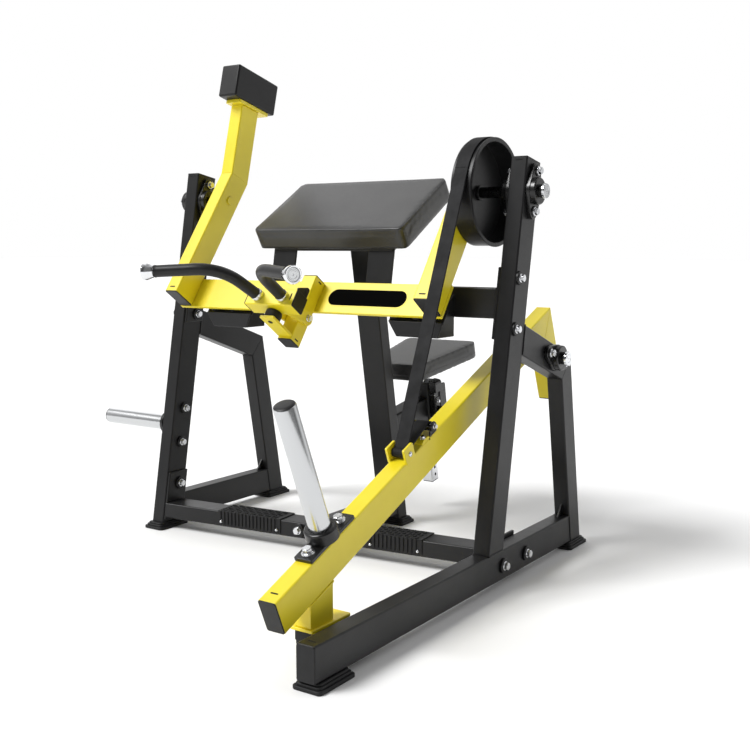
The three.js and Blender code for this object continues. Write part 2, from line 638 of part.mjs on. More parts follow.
function buildLever() {
  const [x0, x1] = LEVER_X;
  const arm = tube(leverRing(), LEVER_X);
  const ears = [beltEar(x0 - 8, x0 + 1), beltEar(x1 - 1, x1 + 8)];
  const pinClearance = rodX(SHAFT + GAP, [x0 - 5, x1 + 5], [0, 0]);
  add('lever_arm', cut(join(arm, ...ears), pinClearance), yellow, leverFrame);
  add('lever_end_cap', box(LEVER_X, [LEVER_NOSE, LEVER_NOSE + CAP], [LEVER_TOP - DEPTH, LEVER_TOP]), rubber,
    leverFrame);
  const shaft = [[0, x0 - 9], [25, x0 - 9], [25, x0 - GAP], [SHAFT, x0 - GAP], ...SHAFT_HEAD];
  add('lever_shaft', turnedX(shaft, [0, 0]), chrome, leverFrame);
  const sleeve = turnedZ(ringProfile(21, SLEEVE_R, 54 + GAP, 384), [473.5, SLEEVE_AT], 32);
  add('weight_sleeve', sleeve, chrome, leverFrame);
  const collar = turnedZ(ringProfile(SLEEVE_R + GAP, 37.5, 53, 83), [473.5, SLEEVE_AT], 32);
  const flange = box(LEVER_X, [-1036, -865], [LEVER_TOP + GAP, 54]);
  add('sleeve_base', join(flange, collar), black, leverFrame);
  const buckle = join(
    box([x0 - 8, x1 + 8], [-514, -490], [62, 76]),
    box([x0 - 8, x0 - 1], [-530, -480], [46, 70]),
    box([x1 + 1, x1 + 8], [-530, -480], [46, 70]),
    box([x0 - 8, x1 + 8], [-530, -480], [LEVER_TOP + GAP, 49]),
  );
  add('belt_buckle', buckle, black, leverFrame);
  buildStopPost();
}

function buildStopPost() {
  const c = Math.cos(rad(LEVER_SLOPE));
  const under = face([LEVER_PIVOT[0] + (DEPTH - LEVER_TOP) * Math.sin(rad(LEVER_SLOPE)),
    LEVER_PIVOT[1] - (DEPTH - LEVER_TOP) * c], LEVER_SLOPE - 90);
  const ring = [face([117, 0], 180), face([0, 76], -90, true), face([197, 0], 0), against(under)];
  const plate = box([442, 505], [112, 252], [70, 77]);
  add('stop_post', join(tube(ring, LEVER_X), plate), yellow);
}

// ---- seat --------------------------------------------------------------------------------------
function buildSeat() {
  const under = SEAT_TOP - SEAT_THICK;
  const cushion = new THREE.Shape([[-100, -165], [100, -165], [138, 151], [-138, 151]]
    .map(([x, y]) => new THREE.Vector2(x, y)));
  const pad = new THREE.ExtrudeGeometry(cushion, { depth: SEAT_THICK, bevelEnabled: false });
  add('seat_cushion', pad.translate(0, 0, under), leather, seatFrame);
  const post = cut(box([-20, 20], [-20, 20], [0, under - 7]), box([-17, 17], [-17, 17], [-5, under - 12]));
  const plate = box([-70, 70], [-100, 100], [under - 8, under - GAP]);
  add('seat_post', join(post, plate), chrome, seatFrame);
  const clear = 20.8;
  const sleeve = box([-35, 35], [-28, 28], [111, 350]);
  const postBackY = -SEAT_BASE[0] * Math.cos(rad(SEAT_LEAN)) - SEAT_BASE[1] * Math.sin(rad(SEAT_LEAN))
    + postBack.reach;
  const arm = box([-30, 30], [postBackY + GAP, -27], [200, 300]);
  const bore = box([-clear, clear], [-clear, clear], [100, 360]);
  const hole = rodX(6.4, [10, 60], [0, 250], 16);
  add('seat_carrier', cut(join(sleeve, arm), bore, hole), black, seatFrame);
  const pin = [[0, 21.2], [5.8, 21.2], [5.8, 36], [13, 36], [13, 60], [17, 62], [17, 80], [0, 80]];
  add('seat_pin', turnedX(pin, [0, 250], 16), rubber, seatFrame);
}

buildSideFrames();
buildFeet();
buildMidBeam();
buildLowerCrossbar();
buildFootRests();
buildCentre();
buildPad();
buildRestStops();
buildHornAndBumper();
buildBearings();
buildYoke();
buildBelt();
buildHandle();
buildLever();
buildSeat();

const object = new THREE.Group();
object.add(machine);
object.updateMatrixWorld(true);
const bounds = new THREE.Box3().setFromObject(machine, true);
machine.position.set(-(bounds.min.x + bounds.max.x) / 2, -(bounds.min.y + bounds.max.y) / 2, -bounds.min.z);
object.updateMatrixWorld(true);

export default object;
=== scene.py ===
# Looks for the plate-loaded arm-curl machine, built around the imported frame.
# Shapes are laid out in millimetres in the machine's own axes: X from the middle plane, Y from the
# front end of the long base beam, Z from the floor. Each part frame below turns them into the row frame.
import math

import bmesh
import bpy
from mathutils import Matrix, Vector
from mathutils.bvhtree import BVHTree


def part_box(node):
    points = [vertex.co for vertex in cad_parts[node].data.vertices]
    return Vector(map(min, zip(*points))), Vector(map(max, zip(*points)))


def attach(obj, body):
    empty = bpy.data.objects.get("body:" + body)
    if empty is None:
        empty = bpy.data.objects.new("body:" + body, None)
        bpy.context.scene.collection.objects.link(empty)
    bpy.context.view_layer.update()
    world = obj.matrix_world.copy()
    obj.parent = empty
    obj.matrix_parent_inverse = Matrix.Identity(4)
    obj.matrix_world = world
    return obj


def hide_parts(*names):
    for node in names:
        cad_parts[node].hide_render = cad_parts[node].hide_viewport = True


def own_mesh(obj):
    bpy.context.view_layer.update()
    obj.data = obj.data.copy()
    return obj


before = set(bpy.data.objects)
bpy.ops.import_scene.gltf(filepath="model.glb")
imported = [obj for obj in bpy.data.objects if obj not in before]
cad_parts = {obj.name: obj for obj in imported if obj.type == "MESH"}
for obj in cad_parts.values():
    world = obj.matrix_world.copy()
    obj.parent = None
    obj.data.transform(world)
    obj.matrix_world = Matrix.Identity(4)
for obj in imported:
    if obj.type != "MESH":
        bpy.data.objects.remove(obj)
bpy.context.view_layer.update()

MM = 0.001
OUT = 597                 # outer face of each side frame
TUBE = 47                 # width of a frame tube
INNER = OUT - TUBE
DEPTH = 80                # depth of a frame tube
LEAN = 10.1               # all slopes and leans are in degrees; this one is the uprights'
RAIL_SLOPE = 19.55        # top rails
ARM_LEAN = 35.4           # yoke arms at rest
UPPER_LEAN = 14           # counterweight's arm above its bend
LEVER_SLOPE = 22.7        # lever at rest
SEAT_LEAN = 10.2          # seat post
PAD_SLOPE = 31.3          # arm pad
PIVOT = (932, 1024)       # yoke's axis; pairs are (y, z) in the machine unless they say otherwise
ARM_TOP = (1038.5, 1318.5)
LEVER_PIVOT = (1095, 577)
SLEEVE = (473.5, -956)    # weight sleeve in the lever's axes
HORN = (0, 800, 322)      # a point on the storage horn's axis
RIGHT = (INNER, OUT)
LEFT = (-OUT, -INNER)

beam_low, beam_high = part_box("right_base_beam")
ORIGIN = Vector((beam_high.x - OUT * MM, beam_low.y, 0))


def part_frame(at=(0, 0), tilt=0):
    """Millimetre axes at (y, z) in the machine, tilted about X, as a matrix into the row frame."""
    place = Matrix.Translation(ORIGIN + Vector((0, *at)) * MM)
    return place @ Matrix.Rotation(math.radians(tilt), 4, "X") @ Matrix.Scale(MM, 4)


MACHINE = part_frame()
ARM = part_frame(PIVOT, -ARM_LEAN)
UPPER = part_frame(ARM_TOP, -UPPER_LEAN)
LEVER = part_frame(LEVER_PIVOT, LEVER_SLOPE)
SEAT = part_frame((1428, 97), SEAT_LEAN)
PAD = part_frame((827, 929), PAD_SLOPE)
UPRIGHT = part_frame((904, 1111), -LEAN)      # at the top front edge, +Z up the upright
TILTED_PIVOT = part_frame(PIVOT, -LEAN)
LEVER_BEARING = part_frame(LEVER_PIVOT, 90 - RAIL_SLOPE)


# ---- camera, light, floor ----------------------------------------------------------------------
def add_camera():
    data = bpy.data.cameras.new("camera")
    data.lens = 50.07
    data.sensor_width = 36
    data.shift_y = 0.009
    camera = bpy.data.objects.new("camera", data)
    azimuth, pitch = math.radians(34.2), math.radians(7.4)
    level = math.cos(pitch)
    back = Vector((math.sin(azimuth) * level, -math.cos(azimuth) * level, math.sin(pitch)))
    camera.location = MACHINE @ Vector((1801.6, -1562.1, 882.9))
    camera.rotation_euler = (-back).to_track_quat("-Z", "Y").to_euler()
    bpy.context.scene.collection.objects.link(camera)
    bpy.context.scene.camera = camera


def add_sun(name, place, strength, spread):
    """A soft light from far away, in the direction of place from the middle of the floor."""
    data = bpy.data.lights.new(name, "SUN")
    data.energy = strength
    data.angle = math.radians(spread)
    sun = bpy.data.objects.new(name, data)
    sun.rotation_euler = Vector(place).to_track_quat("Z", "Y").to_euler()
    bpy.context.scene.collection.objects.link(sun)


def add_studio():
    """White walls. In reflections they are upright light panels, bright behind and dim on the front right."""
    world = bpy.data.worlds.new("studio")
    world.use_nodes = True
    tree = world.node_tree
    background = tree.nodes["Background"]
    direction = tree.nodes.new("ShaderNodeTexCoord")
    facing = tree.nodes.new("ShaderNodeVectorMath")
    facing.operation = "DOT_PRODUCT"
    facing.inputs[1].default_value = Vector((0.62, -0.72, 0.30)).normalized()
    fade = tree.nodes.new("ShaderNodeMapRange")
    fade.interpolation_type = "SMOOTHSTEP"
    for socket, value in (("From Min", -0.9), ("From Max", 0.9), ("To Min", 1.4), ("To Max", 0.16)):
        fade.inputs[socket].default_value = value
    ray = tree.nodes.new("ShaderNodeLightPath")
    choose = tree.nodes.new("ShaderNodeMix")
    choose.inputs["B"].default_value = 1.0
    tree.links.new(direction.outputs["Generated"], facing.inputs[0])
    tree.links.new(facing.outputs["Value"], fade.inputs["Value"])
    around = tree.nodes.new("ShaderNodeTexGradient")
    around.gradient_type = "RADIAL"
    panels = tree.nodes.new("ShaderNodeMath")
    panels.operation = "PINGPONG"
    panels.inputs[1].default_value = 0.07
    soften = tree.nodes.new("ShaderNodeMapRange")
    soften.interpolation_type = "SMOOTHSTEP"
    for socket, value in (("From Min", 0.012), ("From Max", 0.05), ("To Min", 0.45), ("To Max", 1.1)):
        soften.inputs[socket].default_value = value
    banded = tree.nodes.new("ShaderNodeMath")
    banded.operation = "MULTIPLY"
    tree.links.new(direction.outputs["Generated"], around.inputs["Vector"])
    tree.links.new(around.outputs["Fac"], panels.inputs[0])
    tree.links.new(panels.outputs["Value"], soften.inputs["Value"])
    tree.links.new(fade.outputs["Result"], banded.inputs[0])
    tree.links.new(soften.outputs["Result"], banded.inputs[1])
    tree.links.new(banded.outputs["Value"], choose.inputs["A"])
    tree.links.new(ray.outputs["Is Camera Ray"], choose.inputs["Factor"])
    tree.links.new(choose.outputs["Result"], background.inputs["Strength"])
    background.inputs["Color"].default_value = (1, 1, 1, 1)
    bpy.context.scene.world = world
    bpy.context.scene.view_settings.view_transform = "Standard"
    add_sun("key", (-0.55, -0.75, 1.0), 3.1, 24)
    add_sun("fill", (0.9, 0.5, 1.1), 0.15, 40)
    mesh = bpy.data.meshes.new("floor")
    half = 60
    corners = [(-half, -half, 0), (half, -half, 0), (half, half, 0), (-half, half, 0)]
    mesh.from_pydata(corners, [], [(0, 1, 2, 3)])
    floor = bpy.data.objects.new("floor", mesh)
    bpy.context.scene.collection.objects.link(floor)
    mesh.materials.append(plain_material("pale_floor", (0.95, 0.95, 0.95), 0.8))


# ---- materials ---------------------------------------------------------------------------------
def shader(name, color, roughness, metallic=0.0, **sockets):
    material = bpy.data.materials.new(name)
    material.use_nodes = True
    node = material.node_tree.nodes["Principled BSDF"]
    node.inputs["Base Color"].default_value = (*color, 1)
    node.inputs["Roughness"].default_value = roughness
    node.inputs["Metallic"].default_value = metallic
    for socket, value in sockets.items():
        node.inputs[socket.replace("_", " ")].default_value = value
    return material, node


def add_node(material, kind, **settings):
    node = material.node_tree.nodes.new(kind)
    for name, value in settings.items():
        if name in node.inputs:
            node.inputs[name].default_value = value
        else:
            setattr(node, name, value)
    return node


def wire(material, source, target):
    material.node_tree.links.new(source, target)


def object_coordinates(material, stretch=(1, 1, 1)):
    coordinates = add_node(material, "ShaderNodeTexCoord")
    mapping = add_node(material, "ShaderNodeMapping")
    mapping.inputs["Scale"].default_value = stretch
    wire(material, coordinates.outputs["Object"], mapping.inputs["Vector"])
    return mapping.outputs["Vector"]


def noise(material, scale, detail=3.0, stretch=(1, 1, 1)):
    texture = add_node(material, "ShaderNodeTexNoise", Scale=scale, Detail=detail)
    wire(material, object_coordinates(material, stretch), texture.inputs["Vector"])
    return texture.outputs["Fac"]


def add_bump(material, shader_node, heights, strength, distance):
    """Chains one bump node for each height."""
    previous = None
    for height in heights:
        bump = add_node(material, "ShaderNodeBump", Strength=strength, Distance=distance)
        wire(material, height, bump.inputs["Height"])
        if previous:
            wire(material, previous, bump.inputs["Normal"])
        previous = bump.outputs["Normal"]
    wire(material, previous, shader_node.inputs["Normal"])


def vary(material, shader_node, socket, fac, low, high):
    ramp = add_node(material, "ShaderNodeMapRange")
    ramp.inputs["To Min"].default_value = low
    ramp.inputs["To Max"].default_value = high
    wire(material, fac, ramp.inputs["Value"])
    wire(material, ramp.outputs["Result"], shader_node.inputs[socket])


def vary_color(material, shader_node, fac, low, high):
    ramp = add_node(material, "ShaderNodeValToRGB")
    ramp.color_ramp.elements[0].position = 0.35
    ramp.color_ramp.elements[1].position = 0.65
    ramp.color_ramp.elements[0].color = (*low, 1)
    ramp.color_ramp.elements[1].color = (*high, 1)
    wire(material, fac, ramp.inputs["Fac"])
    wire(material, ramp.outputs["Color"], shader_node.inputs["Base Color"])


def plain_material(name, color, roughness):
    material, node = shader(name, color, roughness)
    vary(material, node, "Roughness", noise(material, 2), roughness - 0.05, roughness + 0.05)
    return material


def powder_coat(name, dark, light, roughness, gloss, coat):
    """Sprayed and baked paint: a fine orange-peel surface under a thin gloss."""
    material, node = shader(name, light, roughness, Specular_IOR_Level=gloss, Coat_Weight=coat,
                            Coat_Roughness=0.22)
    vary_color(material, node, noise(material, 7, 4), dark, light)
    vary(material, node, "Roughness", noise(material, 30, 3), roughness - 0.05, roughness + 0.06)
    add_bump(material, node, [noise(material, 750, 2), noise(material, 300, 1)], 0.16, 0.0005)
    return material


def polished_chrome():
    material, node = shader("polished_chrome", (0.80, 0.81, 0.83), 0.09, 1.0)
    vary(material, node, "Roughness", noise(material, 60, 4), 0.05, 0.14)
    add_bump(material, node, [noise(material, 400, 2)], 0.02, 0.0003)
    return material


def turned_chrome():
    """Hard-chromed sleeve: fine turning marks round its length and faint rubbing marks along it."""
    material, node = shader("turned_chrome", (0.60, 0.61, 0.62), 0.2, 1.0, Anisotropic=0.4)
    vary(material, node, "Roughness", noise(material, 40, 5, (1, 1, 12)), 0.13, 0.28)
    add_bump(material, node, [noise(material, 90, 4, (2, 2, 30))], 0.05, 0.0002)
    return material


def zinc_steel():
    material, node = shader("zinc_steel", (0.72, 0.73, 0.75), 0.22, 1.0)
    vary(material, node, "Roughness", noise(material, 120, 4), 0.16, 0.34)
    add_bump(material, node, [noise(material, 700, 2)], 0.05, 0.0003)
    return material


def moulded_rubber(name, color, roughness):
    material, node = shader(name, color, roughness, Specular_IOR_Level=0.35)
    darker, lighter = (tuple(share * c for c in color) for share in (0.75, 1.25))
    vary_color(material, node, noise(material, 45, 5), darker, lighter)
    vary(material, node, "Roughness", noise(material, 90, 3), roughness - 0.08, roughness + 0.08)
    add_bump(material, node, [noise(material, 1100, 3)], 0.15, 0.0004)
    return material


def grained_leather():
    """Padded vinyl: pebbled grain of small cells with soft creases between, and a faint sheen."""
    material, node = shader("grained_leather", (0.020, 0.020, 0.021), 0.4, Specular_IOR_Level=0.65,
                            Sheen_Weight=0.15, Sheen_Roughness=0.4)
    cells = add_node(material, "ShaderNodeTexVoronoi", Scale=420.0, feature="DISTANCE_TO_EDGE")
    place = object_coordinates(material)
    wire(material, place, cells.inputs["Vector"])
    vary_color(material, node, noise(material, 14, 5), (0.012, 0.012, 0.0125), (0.020, 0.020, 0.0205))
    vary(material, node, "Roughness", noise(material, 150, 4), 0.30, 0.40)
    add_bump(material, node, [cells.outputs["Distance"], noise(material, 700, 3)], 0.20, 0.0005)
    return material


def woven_belt():
    """Reinforced belt: fine ribs across its width under a rubbed black face."""
    material, node = shader("woven_belt", (0.014, 0.014, 0.015), 0.75, Specular_IOR_Level=0.12)
    wave = add_node(material, "ShaderNodeTexWave", Scale=170.0, Distortion=0.6, bands_direction="Z")
    wire(material, object_coordinates(material), wave.inputs["Vector"])
    vary_color(material, node, noise(material, 25, 5), (0.010, 0.010, 0.0105), (0.019, 0.019, 0.020))
    vary(material, node, "Roughness", noise(material, 200, 3), 0.5, 0.7)
    add_bump(material, node, [wave.outputs["Fac"], noise(material, 900, 3)], 0.2, 0.0004)
    return material


def badge_film():
    material, node = shader("badge_film", (0.003, 0.003, 0.003), 0.45, Specular_IOR_Level=0.0)
    vary(material, node, "Roughness", noise(material, 60), 0.4, 0.5)
    return material


# Flat dark plates for the openings of slots and holes: painted shade of their insides.
def painted_hole_shade():
    material, node = shader("painted_hole_shade", (0.004, 0.004, 0.004), 0.8)
    vary(material, node, "Roughness", noise(material, 80), 0.7, 0.9)
    return material


BLACK = powder_coat("black_powder_coat", (0.008, 0.008, 0.0085), (0.012, 0.012, 0.0125), 0.36, 0.3, 0.0)
GLOSS_BLACK = powder_coat("black_cast_paint", (0.004, 0.004, 0.004), (0.007, 0.007, 0.007), 0.26, 0.5, 0.0)
YELLOW = powder_coat("yellow_powder_coat", (0.80, 0.65, 0.012), (0.86, 0.71, 0.018), 0.36, 0.5, 0.2)
CHROME = polished_chrome()
SLEEVE_CHROME = turned_chrome()
ZINC = zinc_steel()
RUBBER = moulded_rubber("black_rubber", (0.008, 0.008, 0.0085), 0.6)
GRIP = moulded_rubber("grip_rubber", (0.010, 0.010, 0.0105), 0.4)
PLASTIC = moulded_rubber("black_plastic", (0.006, 0.006, 0.0065), 0.42)
LEATHER = grained_leather()
BELT = woven_belt()
BADGE = badge_film()
# Painted shade inside slots and holes.
HOLE_SHADE = painted_hole_shade()

# The material slot name for each material, used unless a piece names another; settle looks it up but puts it
# on no piece. The painted shade of holes and slots has none.
SLOTS = {
    BLACK.name: "frame_black", GLOSS_BLACK.name: "frame_black", YELLOW.name: "yellow_paint",
    CHROME.name: "chrome", ZINC.name: "chrome", SLEEVE_CHROME.name: "brushed_chrome",
    RUBBER.name: "black_rubber", GRIP.name: "grip_rubber", PLASTIC.name: "black_plastic",
    BADGE.name: "black_plastic", LEATHER.name: "black_leather", BELT.name: "belt_webbing",
}


# ---- shape helpers: each returns a bmesh in millimetres ----------------------------------------
def from_faces(points, faces):
    bm = bmesh.new()
    verts = [bm.verts.new(p) for p in points]
    for f in faces:
        bm.faces.new([verts[i] for i in f])
    bmesh.ops.recalc_face_normals(bm, faces=bm.faces)
    return bm


def drawn(outline, low, high, place):
    """An outline drawn out from low to high: place(u, v, w) puts an outline point (u, v) at height w."""
    n = len(outline)
    points = [place(u, v, low) for u, v in outline] + [place(u, v, high) for u, v in outline]
    faces = [tuple(range(n)), tuple(range(n, 2 * n))]
    faces += [(i, (i + 1) % n, n + (i + 1) % n, n + i) for i in range(n)]
    return from_faces(points, faces)


def side_drawn(outline, x0, x1):
    return drawn(outline, x0, x1, lambda y, z, x: (x, y, z))


def front_drawn(outline, y0, y1):
    return drawn(outline, y0, y1, lambda x, z, y: (x, y, z))


def plan_drawn(outline, z0, z1):
    return drawn(outline, z0, z1, lambda x, y, z: (x, y, z))


def block(x, y, z):
    return plan_drawn([(x[0], y[0]), (x[1], y[0]), (x[1], y[1]), (x[0], y[1])], *z)


def arc(centre, radius, start, end, steps):
    """Points on an arc, degrees."""
    angles = [math.radians(start + (end - start) * i / steps) for i in range(steps + 1)]
    return [(centre[0] + radius * math.cos(a), centre[1] + radius * math.sin(a)) for a in angles]


def rounded_rectangle(u, v, radius, steps=6):
    (u0, u1), (v0, v1) = u, v
    centres = [(u1 - radius, v1 - radius, 0), (u0 + radius, v1 - radius, 90), (u0 + radius, v0 + radius, 180),
               (u1 - radius, v0 + radius, 270)]
    return [p for a, b, start in centres for p in arc((a, b), radius, start, start + 90, steps)]


def turned(profile, axis="X", at=(0, 0, 0), segments=64):
    """A turned piece. The profile is [(radius, along), ...]; it closes on the axis or on itself."""
    ring = profile[0][0] > 1e-6
    bm = bmesh.new()
    rows = []
    for radius, along in profile:
        if radius < 1e-6:
            rows.append([bm.verts.new((0, 0, along))])
            continue
        turns = [2 * math.pi * i / segments for i in range(segments)]
        rows.append([bm.verts.new((radius * math.cos(a), radius * math.sin(a), along)) for a in turns])
    pairs = list(zip(rows, rows[1:])) + ([(rows[-1], rows[0])] if ring else [])
    for a, b in pairs:
        for i in range(segments):
            j = (i + 1) % segments
            corners = [a[i % len(a)], a[j % len(a)], b[j % len(b)], b[i % len(b)]]
            bm.faces.new(list(dict.fromkeys(corners)))
    bmesh.ops.recalc_face_normals(bm, faces=bm.faces)
    turn = {"X": Matrix.Rotation(math.pi / 2, 4, "Y"), "Z": Matrix.Identity(4)}[axis]
    bm.transform(Matrix.Translation(at) @ turn)
    return bm


def rod(radius, a, b, axis="X", at=(0, 0, 0), segments=48, edge=1.0):
    """A round bar from a to b along its axis, with its end edges broken."""
    profile = [(0, a), (radius - edge, a), (radius, a + edge), (radius, b - edge), (radius - edge, b), (0, b)]
    return turned(profile, axis, at, segments)


def swept(points, radius, segments=16):
    """A round tube along points; radius is a number or a function of the share of the way along."""
    points = [Vector(p) for p in points]
    size = radius if callable(radius) else lambda share: radius
    way = (points[1] - points[0]).normalized()
    side = way.orthogonal().normalized()
    bm = bmesh.new()
    rows = []
    last = len(points) - 1
    for i, p in enumerate(points):
        ahead = (points[min(i + 1, last)] - points[max(i - 1, 0)]).normalized()
        side = (side - ahead * side.dot(ahead)).normalized()
        other = ahead.cross(side)
        r = size(i / last)
        turns = [2 * math.pi * k / segments for k in range(segments)]
        rows.append([bm.verts.new(p + (side * math.cos(a) + other * math.sin(a)) * r) for a in turns])
    for a, b in zip(rows, rows[1:]):
        for k in range(segments):
            j = (k + 1) % segments
            bm.faces.new((a[k], a[j], b[j], b[k]))
    bm.faces.new(rows[0])
    bm.faces.new(rows[-1])
    bmesh.ops.recalc_face_normals(bm, faces=bm.faces)
    return bm


def hull_of(points):
    bm = bmesh.new()
    for p in points:
        bm.verts.new(p)
    bmesh.ops.remove_doubles(bm, verts=bm.verts, dist=0.01)
    found = bmesh.ops.convex_hull(bm, input=bm.verts)
    inside = {v for v in found["geom_interior"] if isinstance(v, bmesh.types.BMVert)}
    bmesh.ops.delete(bm, geom=list(inside), context="VERTS")
    bmesh.ops.dissolve_limit(bm, angle_limit=math.radians(1.5), verts=bm.verts, edges=bm.edges)
    bmesh.ops.recalc_face_normals(bm, faces=bm.faces)
    return bm


def node_hull(node, place=MACHINE, keep=lambda p: True):
    """The convex outside of a CAD node, or of the part of it that keep(point) picks, in place's axes."""
    inverse = place.inverted()
    points = [inverse @ v.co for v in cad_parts[node].data.vertices]
    return hull_of([p for p in points if keep(p)])


def merged(shapes):
    bm = bmesh.new()
    for shape in shapes:
        mesh = bpy.data.meshes.new("shape")
        shape.to_mesh(mesh)
        bm.from_mesh(mesh)
        bpy.data.meshes.remove(mesh)
        shape.free()
    return bm


def moved(bm, place, into=MACHINE):
    """A shape laid out in place's axes, in the axes of another part frame."""
    bm.transform(into.inverted() @ place)
    return bm


# ---- making pieces -----------------------------------------------------------------------------
SHARP_ANGLE = 38          # degrees between faces above which shading breaks
BEVEL_ANGLE = 28          # degrees between faces above which an edge is rounded


def weigh_edges(bm, edge, grain, grain_edge):
    """Stores on each sharp edge how much of the bevel it takes; edges along the grain take grain_edge."""
    widest = max(edge, grain_edge)
    if not widest:
        return 0
    layer = bm.edges.layers.float.new("bevel_weight_edge")
    for e in bm.edges:
        if len(e.link_faces) != 2 or e.calc_face_angle(0) < math.radians(BEVEL_ANGLE):
            continue
        along = (e.verts[1].co - e.verts[0].co).normalized()
        e[layer] = (grain_edge if grain and abs(along.dot(grain)) > 0.99 else edge) / widest
    return widest


def longest_edge(bm):
    e = max(bm.edges, key=lambda e: e.calc_length())
    return (e.verts[1].co - e.verts[0].co).normalized()


def piece(name, body, bm, material, place=MACHINE, edge=1.0, grain_edge=0.0, segments=2, stands_for=(),
          slot=None):
    """Makes an object from a shape, rounds its edges, and lets it ride on a CAD body."""
    grain = longest_edge(bm) if grain_edge else None
    widest = weigh_edges(bm, edge, grain, grain_edge)
    bm.transform(place)
    mesh = bpy.data.meshes.new(name)
    bm.to_mesh(mesh)
    bm.free()
    obj = bpy.data.objects.new(name, mesh)
    bpy.context.scene.collection.objects.link(obj)
    mesh.polygons.foreach_set("use_smooth", [True] * len(mesh.polygons))
    mesh.set_sharp_from_angle(angle=math.radians(SHARP_ANGLE))
    if widest > 0:
        bevel = obj.modifiers.new("bevel", "BEVEL")
        bevel.limit_method = "WEIGHT"
        bevel.width = widest * MM
        bevel.segments = segments
        level = obj.modifiers.new("level", "WEIGHTED_NORMAL")
        level.weight = 100
        level.keep_sharp = True
        bake_modifiers(obj)
    return settle(obj, body, material, stands_for, slot)


def bake_modifiers(obj):
    bpy.context.view_layer.update()
    shown = obj.evaluated_get(bpy.context.evaluated_depsgraph_get())
    baked = bpy.data.meshes.new_from_object(shown)
    obj.modifiers.clear()
    obj.data = baked


def settle(obj, body, material, stands_for, slot=None):
    slot = slot or SLOTS.get(material.name)
    obj.data.materials.clear()
    obj.data.materials.append(material)
    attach(obj, body)
    if stands_for:
        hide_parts(*stands_for)
    return obj


# ---- fasteners, welds and end caps -------------------------------------------------------------
def seated(bm, at, way):
    """A shape laid out along Z, moved to a point and turned to stand along way."""
    turn = Vector((0, 0, 1)).rotation_difference(Vector(way)).to_matrix().to_4x4()
    bm.transform(Matrix.Translation(at) @ turn)
    return bm


def bolt(at, way, size=9.5):
    """A hexagon bolt head with its flange, seated at a point and pointing along way."""
    turns = [math.radians(60 * i) for i in range(6)]
    head = plan_drawn([(size * math.cos(a), size * math.sin(a)) for a in turns], 2, 2 + size * 0.75)
    wide, top = size * 0.80, 2 + size * 0.85
    crown = turned([(0, 2), (wide, 2), (wide, top), (0, top)], "Z", segments=24)
    brim = size * 1.15
    flange = turned([(0, 0), (brim, 0), (brim, 1.4), (size * 0.95, 2.4), (0, 2.4)], "Z", segments=32)
    return seated(merged([head, crown, flange]), at, way)


def washer(at, way, radius=17, thick=3.5):
    chamfer = 1.2
    profile = [(0, 0), (radius, 0), (radius, thick - chamfer), (radius - chamfer, thick), (0, thick)]
    return seated(turned(profile, "Z", segments=40), at, way)


def painted_slot_shade(centre, along, normal, length=20, width=4):
    """A small hanging slot near a tube's end, as a thin plate that carries the painted shade of its inside.
    """
    along, normal = Vector(along).normalized(), Vector(normal).normalized()
    outline = rounded_rectangle((-length / 2, length / 2), (-width / 2, width / 2), width / 2 - 0.01, 4)
    bm = plan_drawn(outline, -0.6, 0.4)
    turn = Matrix((along, normal.cross(along), normal)).transposed().to_4x4()
    bm.transform(Matrix.Translation(centre) @ turn)
    return bm


def weld_bead(corners):
    """A rippled weld bead round a closed route of corners."""
    step, radius, height = 3.2, 2.3, 0.35
    corners = [Vector(c) for c in corners]
    points = []
    for a, b in zip(corners, corners[1:] + corners[:1]):
        count = int((b - a).length / step)
        points += [a.lerp(b, i / count) for i in range(count)]
    points.append(points[0])
    ripple = len(points) * math.pi
    return swept(points, lambda share: radius + height * math.sin(ripple * share), 8)


def weld_ring(p, q, span):
    """A weld bead round a tube joint whose plane runs through side points p and q, across span in X."""
    x0, x1 = span[0] - 0.4, span[1] + 0.4
    return weld_bead([(x0, *p), (x1, *p), (x1, *q), (x0, *q)])


def fasten(name, body, bolts, washers, place=MACHINE):
    """One piece of bolts and one of dark washers under them, each given as (point, way, size)."""
    if bolts:
        piece(f"{name}_bolts", body, merged([bolt(*b) for b in bolts]), ZINC, place, edge=0.5)
    if washers:
        piece(f"{name}_washers", body, merged([washer(*w) for w in washers]), PLASTIC, place, edge=0)


# ---- side frames -------------------------------------------------------------------------------
def upright_back(z):
    return 724 + DEPTH / math.cos(math.radians(LEAN)) + (z - 100) * math.tan(math.radians(LEAN))


def build_side_frames():
    for side, span in (("right", RIGHT), ("left", LEFT)):
        for part in ("base_beam", "upright", "top_rail", "rear_leg"):
            node = f"{side}_{part}"
            piece(node + "_tube", "root", node_hull(node), BLACK, edge=1.2, grain_edge=3.6, segments=3,
                  stands_for=[node])
        welds = [weld_ring((upright_back(603), 603), (upright_back(679), 679), span),
                 weld_ring((1223, 97), (1235, 24), span)]
        if side == "right":
            welds.append(weld_ring((727, 100), (802, 100), span))
        else:
            welds.append(weld_ring((upright_back(97), 97), (upright_back(24), 24), span))
        middle = sum(span) / 2
        gusset = side_drawn([(1224, 99), (1190, 99), (1217, 134)], middle - 3, middle + 3)
        piece(f"{side}_frame_welds", "root", merged(welds), BLACK, edge=0)
        piece(f"{side}_frame_gusset", "root", gusset, BLACK, edge=0.8)
        cap = block((span[0] + 0.5, span[1] - 0.5), (0.5, DEPTH - 0.5), (-0.5, 2.6))
        piece(f"{side}_upright_cap", "root", cap, PLASTIC, UPRIGHT, edge=1.2)
    nose = front_drawn(rounded_rectangle((INNER + 0.5, OUT - 0.5), (20.8, 99.5), 6), -1.8, 0.4)
    piece("right_beam_cap", "root", nose, PLASTIC, edge=0.9)
    marks = [painted_slot_shade((x, 902.7, 1103), (1, 0, 0), (0, -1, -0.178)) for x in (573.5, -573.5)]
    marks.append(painted_slot_shade((573.5, 22, 100), (1, 0, 0), (0, 0, 1)))
    piece("frame_slots", "root", merged(marks), HOLE_SHADE, edge=0)


